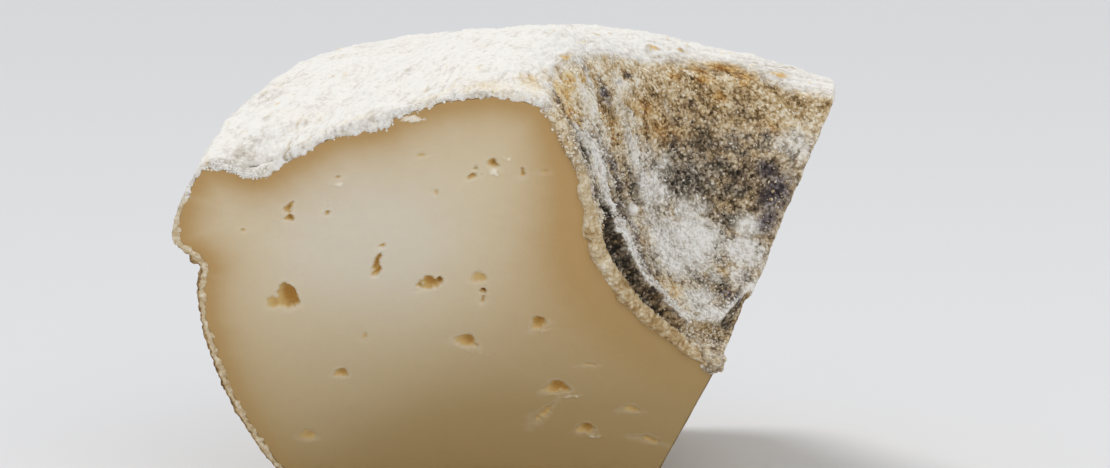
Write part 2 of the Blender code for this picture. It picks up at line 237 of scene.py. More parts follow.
def filledSection():
    # the section with its notch filled flush, as the rind lies away from the cuts
    w = wheel
    low, high = shoulderEnd - w["fillBefore"], shoulderEnd + w["fillAfter"]
    share = np.clip((sectionLength - low) / (high - low), 0, 1)
    ends = np.stack([np.interp([low, high], sectionLength, sectionCurve[:, k]) for k in (0, 1)], -1)
    chord = ends[0] + (ends[1] - ends[0]) * share[:, None]
    across = np.array([ends[0, 1] - ends[1, 1], ends[1, 0] - ends[0, 0]])
    chord = chord + w["fillCrown"] * np.sin(np.pi * share)[:, None] * across / np.linalg.norm(across)
    inside = smoothStep(4 * share) * smoothStep(4 - 4 * share)
    return sectionCurve + inside[:, None] * (chord - sectionCurve)


sectionLength, sectionCurve, ends = wheelSection()
craterEnd, shoulderEnd, bandEnd, lowerShoulderEnd, sectionEnd = ends
flushCurve = filledSection()


def wheelSurface(s, t):
    # The smooth rind at section length s and share t of the way from the first cut to the second: the
    # turned section, bulged and lifted by waves, with the axis line drifting along the first cut.
    w = wheel
    radius, height = (np.interp(s, sectionLength, sectionCurve[:, k]) for k in (0, 1))
    flushRadius, flushHeight = (np.interp(s, sectionLength, flushCurve[:, k]) for k in (0, 1))
    fromCut = w["radius"] * wedgeAngle * np.minimum(t, 1 - t)
    flush = w["fillShare"] * rising(fromCut, w["fillFrom"], w["fillFade"])
    radius, height = radius + flush * (flushRadius - radius), height + flush * (flushHeight - height)
    onWall = np.clip((radius - w["rimRadius"]) / w["bulgeFade"], 0, 1)
    outside = np.clip((w["radius"] - radius) / (w["radius"] - w["rimRadius"]), 0, 1)
    nearRim = np.where(radius < w["rimRadius"], (radius / w["rimRadius"]) ** 2, outside)
    r = radius + onWall * waves(w["bulge"], t)
    z = height + np.sign(height) * nearRim * waves(w["lift"], t)
    angle = wedgeAngle * t * (1 + w["wander"] * bump((radius - w["wanderAt"]) / w["wanderWidth"]))
    drift = np.clip(1 - radius / w["edgeReach"], 0, 1) ** 2 * (w["edgeOffset"] + w["edgeSlant"] * height)
    points = r[..., None] * direction(firstAzimuth - angle)
    points = points + drift[..., None] * direction(np.array(firstAzimuth))
    points[..., 2] += z
    return points, r, angle


def wheelNormal(s, t, step=0.9):
    # outward direction of the smooth rind, from its slopes along s and t
    low, high = np.maximum(s - step, 0.02), np.minimum(s + step, sectionEnd - 0.02)
    along = wheelSurface(high, t)[0] - wheelSurface(low, t)[0]
    across = wheelSurface(s, t + 0.002)[0] - wheelSurface(s, t - 0.002)[0]
    return unit(np.cross(across, along))


firstInward = np.cross(direction(np.array(firstAzimuth)), [0, 0, 1])
secondInward = -np.cross(direction(np.array(secondAzimuth)), [0, 0, 1])
lean = np.array(Matrix.Rotation(math.radians(wheel["leanAngle"]), 3,
                                Vector(direction(np.radians(wheel["leanAxis"])))))


def placed(points):
    # wheel millimetres to the frame's metres, with the feet pressed flat on the floor
    p = (points - wheel["lowerPoint"]) @ lean.T + wheel["lowerPointAt"]
    p[..., 2] = np.maximum(p[..., 2], 0.0)
    return p * mm


def addMesh(name, points, faces, material, normals=None, flat=()):
    # faces: one list of corner lists, each of its own length
    mesh = bpy.data.meshes.new(name)
    mesh.from_pydata(placed(points.reshape(-1, 3)).tolist(), [], faces)
    smooth = np.ones(len(mesh.polygons), bool)
    smooth[list(flat)] = False
    mesh.polygons.foreach_set("use_smooth", smooth)
    mesh.materials.append(material)
    mesh.validate()
    if normals is not None:
        mesh.normals_split_custom_set_from_vertices((normals.reshape(-1, 3) @ lean.T).tolist())
    piece = bpy.data.objects.new(name, mesh)
    bpy.context.scene.collection.objects.link(piece)
    return piece


def addFields(piece, growth, form):
    # up to four fields of 0 to 1 for growth and four for form, kept on the vertices as two colour attributes
    for name, fields in (("growth", growth), ("form", form)):
        layer = piece.data.attributes.new(name, "FLOAT_COLOR", "POINT")
        values = np.zeros((len(piece.data.vertices), 4), np.float32)
        for k, field in enumerate(fields):
            values[:, k] = np.clip(field.reshape(-1), 0, 1)
        layer.data.foreach_set("color", values.reshape(-1))


def ofWedge(piece):
    # the finished piece rides on the wedge's body and stands for its node
    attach(piece, "root")
    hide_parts(node)
    mesh = piece.data
    print(piece.name, "made,", len(mesh.loops) - 2 * len(mesh.polygons), "triangles")


# Materials: small helpers, so that each finish below reads as a recipe.
def newMaterial(name, roughness, specular):
    # a plain surface of this roughness and shine, whose colour and relief the recipe sets
    material = bpy.data.materials.new(name)
    material.use_nodes = True
    shader = material.node_tree.nodes["Principled BSDF"]
    shader.inputs["Roughness"].default_value = roughness
    shader.inputs["Specular IOR Level"].default_value = specular
    return material, material.node_tree, shader


def feed(tree, value, socket):
    # a link where the value is another node's output, and otherwise the value itself
    if isinstance(value, bpy.types.NodeSocket):
        tree.links.new(value, socket)
    elif isinstance(value, tuple) and len(value) == 3 and socket.type == "RGBA":
        socket.default_value = (*value, 1.0)
    else:
        socket.default_value = value


def grain(tree, size, detail, roughness, stretch=(1, 1, 1)):
    # noise of features this many millimetres across, on Object coordinates
    place = tree.nodes.new("ShaderNodeTexCoord").outputs["Object"]
    mapping = tree.nodes.new("ShaderNodeMapping")
    tree.links.new(place, mapping.inputs["Vector"])
    mapping.inputs["Scale"].default_value = stretch
    noise = tree.nodes.new("ShaderNodeTexNoise")
    tree.links.new(mapping.outputs["Vector"], noise.inputs["Vector"])
    noise.inputs["Scale"].default_value = 1 / (size * mm)
    noise.inputs["Detail"].default_value = detail
    noise.inputs["Roughness"].default_value = roughness
    return noise.outputs["Fac"]


def crumbs(tree, size):
    # distance to the nearest of many scattered points, in cells of this many millimetres, and its own share
    place = tree.nodes.new("ShaderNodeTexCoord").outputs["Object"]
    node = tree.nodes.new("ShaderNodeTexVoronoi")
    tree.links.new(place, node.inputs["Vector"])
    node.inputs["Scale"].default_value = 1 / (size * mm)
    parts = tree.nodes.new("ShaderNodeSeparateColor")
    tree.links.new(node.outputs["Color"], parts.inputs["Color"])
    return node.outputs["Distance"], parts.outputs[0]


def ramp(tree, value, low, high):
    # 0 below low, 1 above high, smooth between
    node = tree.nodes.new("ShaderNodeMapRange")
    node.interpolation_type = "SMOOTHSTEP"
    feed(tree, value, node.inputs["Value"])
    node.inputs["From Min"].default_value = low
    node.inputs["From Max"].default_value = high
    return node.outputs["Result"]


def sums(tree, operation, a, b):
    # a and b added, subtracted or multiplied, as the operation says
    node = tree.nodes.new("ShaderNodeMath")
    node.operation = operation
    feed(tree, a, node.inputs[0])
    feed(tree, b, node.inputs[1])
    return node.outputs["Value"]


def plus(tree, a, b):
    return sums(tree, "ADD", a, b)


def times(tree, a, b):
    return sums(tree, "MULTIPLY", a, b)


def mixed(tree, share, a, b):
    # colour a, with this share of colour b over it
    node = tree.nodes.new("ShaderNodeMix")
    node.data_type = "RGBA"
    feed(tree, share, node.inputs[0])
    feed(tree, a, node.inputs[6])
    feed(tree, b, node.inputs[7])
    return node.outputs[2]


def toned(tree, tone, colours):
    # colour picked by tone from colours at given tones
    node = tree.nodes.new("ShaderNodeValToRGB")
    stops = node.color_ramp.elements
    while len(stops) < len(colours):
        stops.new(0.5)
    for stop, (at, colour) in zip(stops, colours):
        stop.position = at
        stop.color = (*colour, 1.0)
    tree.links.new(tone, node.inputs["Fac"])
    return node.outputs["Color"]


def fields(tree, name):
    # the four fields of a colour attribute
    attribute = tree.nodes.new("ShaderNodeAttribute")
    attribute.attribute_name = name
    parts = tree.nodes.new("ShaderNodeSeparateColor")
    tree.links.new(attribute.outputs["Color"], parts.inputs["Color"])
    return [parts.outputs[0], parts.outputs[1], parts.outputs[2], attribute.outputs["Alpha"]]


def broken(tree, field, noise, low, high, strength):
    # a field whose border crumbles along a noise
    shifted = sums(tree, "MULTIPLY_ADD", noise, strength)
    shifted.node.inputs[2].default_value = -0.5 * strength
    return ramp(tree, plus(tree, field, shifted), low, high)


def setBump(tree, shader, height, distance, strength):
    # relief of this many millimetres, lit but not cut into the mesh
    node = tree.nodes.new("ShaderNodeBump")
    node.inputs["Distance"].default_value = distance * mm
    node.inputs["Strength"].default_value = strength
    feed(tree, height, node.inputs["Height"])
    tree.links.new(node.outputs["Normal"], shader.inputs["Normal"])


# The growth field holds a tone over this, so that the palest tones stay in the field's range.
toneRange = 1.25

# Colours of the rind and of the moulds on it, linear, each run from dark to pale by tone.
rindColours = {
    "neutral": [(0, (0.034, 0.028, 0.021)), (0.25, (0.135, 0.112, 0.086)), (0.5, (0.36, 0.315, 0.25)),
                (0.75, (0.65, 0.605, 0.535)), (1, (0.90, 0.88, 0.84))],
    "warm": [(0, (0.036, 0.022, 0.010)), (0.25, (0.19, 0.118, 0.050)), (0.5, (0.50, 0.345, 0.165)),
             (0.75, (0.75, 0.615, 0.41)), (1, (0.90, 0.84, 0.71))],
    "ochre": [(0, (0.08, 0.030, 0.007)), (0.3, (0.36, 0.15, 0.030)), (0.6, (0.68, 0.41, 0.125)),
              (1, (0.85, 0.69, 0.40))],
    "purple": [(0, (0.024, 0.018, 0.019)), (0.3, (0.085, 0.067, 0.066)), (0.6, (0.20, 0.17, 0.165)),
               (1, (0.55, 0.51, 0.49))],
    "cut": [(0, (0.15, 0.080, 0.026)), (0.33, (0.42, 0.275, 0.12)), (0.65, (0.67, 0.55, 0.36)),
            (1, (0.90, 0.84, 0.71))],
    # pit: painted shade in pits, cracks and fold grooves, and the dark of small specks
    "pit": (0.035, 0.023, 0.013),
}
rindFinishing = {
    "roughness": 0.92, "specular": 0.25,
    # grains: millimetres across, detail, roughness, and how far they shift the tone
    "grains": {"broad": (3.6, 3.0, 0.6, 0.8), "medium": (1.2, 4.0, 0.65, 0.75), "fine": (0.42, 4.0, 0.7, 0.8),
               "tiny": (0.17, 2.0, 0.6, 0.4)},
    # crumbs: size, how far each shifts the tone, where its edge lies, and the shade there
    "cell": 0.45, "pick": 0.45, "cellEdge": (0.45, 0.8), "cellShade": -0.12,
    "crest": 0.1, "calming": 0.8,
    # layers: the grain that breaks the border, its low and high end, and how strongly
    "layers": {"warm": ("medium", 0.15, 0.85, 0.9), "ochre": ("fine", 0.12, 0.68, 0.7),
               "purple": ("medium", 0.2, 0.9, 0.6), "cut": ("medium", 0.3, 0.7, 0.5),
               "pit": ("fine", 0.4, 0.85, 0.5)},
    "fineRelief": 0.8, "tinyRelief": 0.25, "cellRelief": 0.4, "reliefHeight": 0.32, "reliefStrength": 0.8,
}


def rindMaterial(name):
    # One recipe for the whole rind. A tone from dark mould to white is shifted grain by grain, and picks
    # the colour from the neutral run, which the layers of the stains, of the cut edge and of the painted
    # shade in pits and cracks then cover.
    f = rindFinishing
    material, tree, shader = newMaterial(name, f["roughness"], f["specular"])
    tone, warm, ochre, purple = fields(tree, "growth")
    pit, edge, calm, crest = fields(tree, "form")
    grains = {size: grain(tree, *values[:3]) for size, values in f["grains"].items()}
    away, pick = crumbs(tree, f["cell"])
    shifts = [(grains[size], values[3]) for size, values in f["grains"].items()] + [(pick, f["pick"])]
    shift = -0.5 * sum(amount for _, amount in shifts)
    for value, amount in (*shifts, (ramp(tree, away, *f["cellEdge"]), f["cellShade"]), (crest, f["crest"])):
        shift = plus(tree, times(tree, value, amount), shift)
    loud = sums(tree, "SUBTRACT", 1.0, times(tree, calm, f["calming"]))
    tone = plus(tree, times(tree, tone, toneRange), times(tree, shift, loud))
    colour = toned(tree, tone, rindColours["neutral"])
    for name, field in (("warm", warm), ("ochre", ochre), ("purple", purple), ("cut", edge), ("pit", pit)):
        size, low, high, strength = f["layers"][name]
        share = broken(tree, field, grains[size], low, high, strength)
        over = rindColours[name]
        colour = mixed(tree, share, colour, over if name == "pit" else toned(tree, tone, over))
    feed(tree, colour, shader.inputs["Base Color"])
    height = plus(tree, times(tree, grains["fine"], f["fineRelief"]),
                  times(tree, grains["tiny"], f["tinyRelief"]))
    height = sums(tree, "SUBTRACT", height, times(tree, away, f["cellRelief"]))
    setBump(tree, shader, times(tree, height, loud), f["reliefHeight"], f["reliefStrength"])
    return material


# The rind is made as five closed slabs. One row of a slab is a loop: over the outside from the second
# cut to the first, round the cut edge, back underneath inside the paste, and round the other edge.
rind = {
    # section length, thickness, rounding and bulge of the first cut's edge
    "firstEdge": [(0, 1.2, 0.7, 0.4), (8, 1.4, 0.8, 0.45), (16, 1.9, 1.0, 0.5), (28, 2.2, 1.1, 0.45),
                  (36, 1.7, 0.9, 0.35), (42, 1.1, 0.6, 0.25), (48, 1.0, 0.6, 0.2), (53, 1.4, 0.8, 0.2),
                  (62, 1.5, 0.9, 0.15), (74, 1.6, 0.9, 0.15), (75.4, 2.8, 0.9, 0.3), (79.5, 2.7, 1.0, 0.3),
                  (81.5, 1.7, 1.0, 0.15), (93, 2.0, 1.0, 0.2), (97, 1.7, 0.7, 0.2), (103, 1.2, 0.5, 0.12),
                  (112, 1.2, 0.5, 0.12), (121, 1.8, 0.6, 0.2), (126, 1.5, 0.5, 0.14), (162, 1.5, 0.5, 0.14),
                  (190, 1.2, 0.5, 0.2), (215, 1.4, 0.8, 0.3)],
    # the same for the second cut, which is the cleaner one
    "secondEdge": [(0, 2.0, 0.7, 0.4), (30, 2.2, 0.6, 0.5), (52, 1.6, 0.4, 0.35), (94, 1.8, 0.4, 0.15),
                   (104, 0.9, 0.3, 0.1), (160, 1.2, 0.3, 0.1), (215, 1.8, 0.5, 0.2)],
    "innerExtra": 1.2,                               # more under the crater, away from the cuts
    "unevenThickness": 0.42, "unevenSize": 3.4,      # share, and millimetres along the edge
    "ridgeAlong": 5.0, "ridgeAcross": 0.9,           # of the cut edges in the craters
    "firstSeed": 3, "secondSeed": 4,
    "edgeSteps": 13, "underSteps": 26, "overlap": 0.8, "overlapSink": 0.25,
    "closer": 0.25,                                  # how much closer the columns lie near the first cut
    "startRadius": 1.6,
}
surfaces = {}      # of the finished slabs, for the crumbs and the nodule


def alongSection(table, s, seed):
    # thickness, rounding and bulge of an edge at section length s, made uneven by a seeded noise
    table = np.array(table)
    thick, rounding, bulge = (np.interp(s, table[:, 0], table[:, k]) for k in (1, 2, 3))
    line = np.stack([s, np.full_like(s, 0.4), np.full_like(s, 0.6)], -1)
    uneven = 1 + rind["unevenThickness"] * layeredNoise(line, rind["unevenSize"], 4, seed)
    return thick * uneven, rounding * (2 - uneven), bulge * (1 + 2.5 * (uneven - 1))


def innerThickness(s, share):
    # what the crater's rind has more of, away from the cuts
    return rind["innerExtra"] * falling(s, craterEnd - 1, 5) * smoothStep(np.minimum(share, 1 - share) / 0.06)


def turnFor(reach, radius):
    # share of the wedge's angle that a distance from a cut takes up at a radius
    return np.arcsin(np.clip(reach / radius, 0, 0.7)) / wedgeAngle


def slabGrid(s, columns):
    # The base points of one slab, and for each point its place: distance from both cuts, depth under the
    # surface, and how much of the outer relief and of the cut edges' crumbs it takes.
    s = s[:, None]
    firstThick, firstRound, firstBulge = alongSection(rind["firstEdge"], s, rind["firstSeed"])
    secondThick, secondRound, secondBulge = alongSection(rind["secondEdge"], s, rind["secondSeed"])
    firstRadius, secondRadius = wheelSurface(s, 0 * s)[1], wheelSurface(s, 0 * s + 1)[1]
    firstT, secondT = turnFor(firstRound, firstRadius), 1 - turnFor(secondRound, secondRadius)
    share = np.linspace(0, 1, columns)[None]
    share = share + rind["closer"] * share * (1 - share)
    turn = np.pi * np.arange(1, rind["edgeSteps"])[None] / rind["edgeSteps"]
    back = np.linspace(0, 1, rind["underSteps"])[None]
    firstX = firstRound - (firstRound + firstBulge) * np.sin(turn)
    secondX = secondRound - (secondRound + secondBulge) * np.sin(turn)
    none, over, under = 0 * firstX, np.zeros((len(s), columns)), np.zeros((len(s), rind["underSteps"]))
    t = np.hstack([secondT + (firstT - secondT) * share, turnFor(np.maximum(firstX, 0), firstRadius),
                   firstT + (secondT - firstT) * back, 1 - turnFor(np.maximum(secondX, 0), secondRadius)])
    inner = firstThick + (secondThick - firstThick) * back + innerThickness(s, back)
    depth = np.hstack([over, firstThick * 0.5 * (1 - np.cos(turn)), inner,
                       secondThick * 0.5 * (1 + np.cos(turn))])
    outer = np.hstack([over + 1, none + 0.5 + 0.5 * np.cos(turn), under, none + 0.5 - 0.5 * np.cos(turn)])
    onEdge = np.hstack([over, none + np.sin(turn) ** 0.5, under, none + np.sin(turn) ** 0.5])
    s = s + np.zeros_like(t)
    points, r, angle = wheelSurface(s, t)
    normals = wheelNormal(s, t)
    side = rind["edgeSteps"] - 1
    for start, inward, x, at in ((columns, firstInward, firstX, 0.0),
                                 (t.shape[1] - side, secondInward, secondX, 1.0)):
        flat = wheelNormal(s[:, :1], np.full((len(s), 1), at))
        normals[:, start:start + side] = unit(flat - (flat @ inward)[..., None] * inward)
        points[:, start:start + side] += np.minimum(x, 0)[..., None] * inward
    points = points - normals * depth[..., None]
    firstSide = np.zeros_like(t)
    firstSide[:, columns // 2:columns + side] = 1
    fromFirst = r * np.sin(np.minimum(angle, math.pi / 2))
    return points, normals, {
        "s": s, "radius": r, "angle": np.degrees(angle), "arc": r * angle, "outer": outer, "onEdge": onEdge,
        "firstSide": firstSide, "around": depth - fromFirst, "fromFirst": fromFirst,
        "fromSecond": r * np.sin(np.clip(wedgeAngle - angle, 0, math.pi / 2))}


def gridNormals(points, guide):
    # outward directions of a grid whose columns close on themselves
    along = np.gradient(points, axis=0)
    across = np.roll(points, -1, axis=1) - np.roll(points, 1, axis=1)
    normals = unit(np.cross(across, along))
    middle = points.shape[1] // 4
    if np.sum(normals[:, :middle] * guide[:, :middle]) < 0:
        normals = -normals
    return normals


def slabQuads(rows, columns):
    # four-cornered faces of a grid whose columns close on themselves
    i, k = np.meshgrid(np.arange(rows - 1), np.arange(columns), indexing="ij")
    here, right = i * columns + k, i * columns + (k + 1) % columns
    return np.stack([here, here + columns, right + columns, right], -1).reshape(-1, 4).tolist()


def slabFaces(rows, columns, caps=None):
    # the closed columns' faces, and over each end either the given small faces or one face
    start, stop = caps or ([list(range(columns))], [list(range(columns))])
    last = (rows - 1) * columns
    return slabQuads(rows, columns) + start + [[last + corner for corner in face[::-1]] for face in stop]


def capFaces(t, over):
    # One end of a slab as small convex faces, their corners in the row's own order: one over each cut edge,
    # and one for each step underneath, with the outer columns above it.
    first, last = over + rind["edgeSteps"] - 1, len(t) - rind["edgeSteps"]
    above = [int(np.argmin(np.abs(t[:over] - t[k]))) for k in range(first, last + 1)]
    above[0], above[-1] = over - 1, 0
    faces = [list(range(over - 1, first + 1)), [*range(last, len(t)), 0]]
    for k in range(last - first):
        faces.append([*range(above[k + 1], above[k] + 1), first + k, first + k + 1])
    return faces


def rindSlab(name, material, start, stop, spacing, columns, relief, colour):
    # Rows at even steps of section length, two ghost rows past each end for smooth shading, and a few
    # rows that slip under the slab before, which the first slab doesn't have.
    rows = int(round((stop - start) / spacing))
    s = np.linspace(start, stop, rows + 1)
    step = s[1] - s[0]
    slip = int(round(rind["overlap"] / step)) if start > rind["startRadius"] else 0
    s = np.concatenate([s[0] - step * np.arange(slip + 2, 0, -1), s, s[-1] + step * np.arange(1, 3)])
    s = np.clip(s, 0.05, sectionEnd - 0.05)
    points, guide, place = slabGrid(s, columns)
    place["points"] = points
    points = points + gridNormals(points, guide) * relief(place)[..., None]
    normals = gridNormals(points, guide)
    sink = np.clip((start - s) / rind["overlap"], 0, 1)[:, None, None] * rind["overlapSink"]
    points = points - guide * sink * (place["outer"] > 0.99)[..., None]
    keep = slice(2, -2)
    count = points[keep].shape[:2]
    faces = slabFaces(*count, [capFaces(place["angle"][row], columns) for row in (2, -3)])
    capsFrom = (count[0] - 1) * count[1]
    piece = addMesh(name, points[keep], faces, material, normals[keep], flat=range(capsFrom, len(faces)))
    kept = {key: value[keep] if isinstance(value, np.ndarray) else value for key, value in place.items()}
    growth, form = colour(kept)
    addFields(piece, growth, form)
    ofWedge(piece)
    surfaces[name] = {"points": points[keep], "normals": normals[keep], "outer": kept["outer"],
                      "s": kept["s"], "bulging": kept["onEdge"] * kept["firstSide"],
                      "tone": growth[0] * toneRange, "warm": growth[1]}


def patches(place, marks, warp, along="radius"):
    # Soft round marks at (place along the section, angle, reach along it, reach across, strength), on
    # places shifted by a noise so that no mark is a plain ellipse.
    way, arc = place[along] + warp[0], place["arc"] + warp[1]
    total = np.zeros_like(way)
    for at, degrees, long, wide, strength in marks:
        away = ((way - at) / long) ** 2 + ((arc - math.radians(degrees) * place["radius"]) / wide) ** 2
        total = np.maximum(total, strength * np.exp(-away))
    return total


def folds(place, lines, warp, straight=False):
    # Distance in millimetres to the nearest of some lines: of (radius, angle) points, or where straight,
    # of points that are both in millimetres.
    way, arc = place["radius"] + warp[0], place["arc"] + warp[1]
    nearest = np.full(way.shape, 99.0)
    for line in lines:
        knots = smoothCurve(line, 6)
        x, y = knots[:, 0], knots[:, 1] if straight else knots[:, 0] * np.radians(knots[:, 1])
        for x0, y0, x1, y1 in zip(x, y, x[1:], y[1:]):
            dx, dy = x1 - x0, y1 - y0
            u = np.clip(((way - x0) * dx + (arc - y0) * dy) / (dx * dx + dy * dy), 0, 1)
            nearest = np.minimum(nearest, np.hypot(way - x0 - u * dx, arc - y0 - u * dy))
    return nearest


def edgeRelief(place):
    # relief of the cut edges: crumbly along the wall, ridged lengthwise in the craters
    p, s = place["points"], place["s"]
    wall = rising(s, craterEnd - 4, 8)
    coarse, fine = layeredNoise(p, 1.0, 3, 51), layeredNoise(p, 0.5, 2, 52)
    bend = 0.5 * layeredNoise(p, 2.4, 2, 54)
    place["ridge"] = ridges(s / rind["ridgeAlong"], (place["around"] + bend) / rind["ridgeAcross"], 53)
    high = (0.16 + 0.28 * wall) * coarse + 0.15 * fine + 0.17 * (1 - wall) * place["ridge"]
    return place["onEdge"] * (0.3 + 0.7 * place["firstSide"]) * high


def wallHeight(place):
    # swellings, lumps, wrinkles stretched along the wall, and a fine grain, all flatter at the cuts
    w = wall
    p, r, s = place["points"], place["radius"], place["s"]
    height = w["lumpHeight"] * gradientNoise(p, w["lumpSize"], 1)
    height = height + w["crustHeight"] * gradientNoise(p, w["crustSize"], 2)
    for radius, at, high, reach in w["swellings"]:
        away = np.hypot(r - radius, r * np.radians(place["angle"] - at))
        height = height + np.where(s < bandEnd, high * bump(away / reach), 0)
    bend = 1.4 * layeredNoise(p, 5.0, 2, 14)
    along, across = place["arc"] + bend, s + bend
    wrinkle = layeredNoise(stretched(across / w["wrinkleAcross"], along / w["wrinkleAlong"]), 1.0, 3, 22)
    crease = gradientNoise(stretched(across / w["creaseAcross"], along / w["creaseAlong"]), 1.0, 24)
    crease = bump(crease / w["creaseWidth"]) * smoothStep(0.2 + 1.8 * layeredNoise(p, 5.0, 3, 25))
    cells, share = cellNoise(p, w["grainSize"], 12)
    height = height + w["wrinkleHeight"] * wrinkle + w["grainHeight"] * (0.55 - cells) * (0.4 + share)
    height = height + w["roughHeight"] * layeredNoise(p, 1.0, 3, 32) - w["creaseDepth"] * crease
    place.update(wrinkle=wrinkle, wallCrease=crease, cells=cells, cellShare=share)
    return height * (0.5 + 0.5 * smoothStep(np.minimum(place["fromFirst"], place["fromSecond"]) / 2))


# The round nodule beside the recess, in a shallow hollow of the crust.
nodule = {"radius": 25.7, "angle": 34.5, "lift": 0.85, "size": (0.8, 0.85, 0.8), "power": 2.1, "rows": 36,
          "columns": 50, "lump": 0.1, "crumb": 0.12, "tone": 0.97, "warm": 0.3, "edge": 0.0, "calm": 0.8,
          "hollow": 0.5}

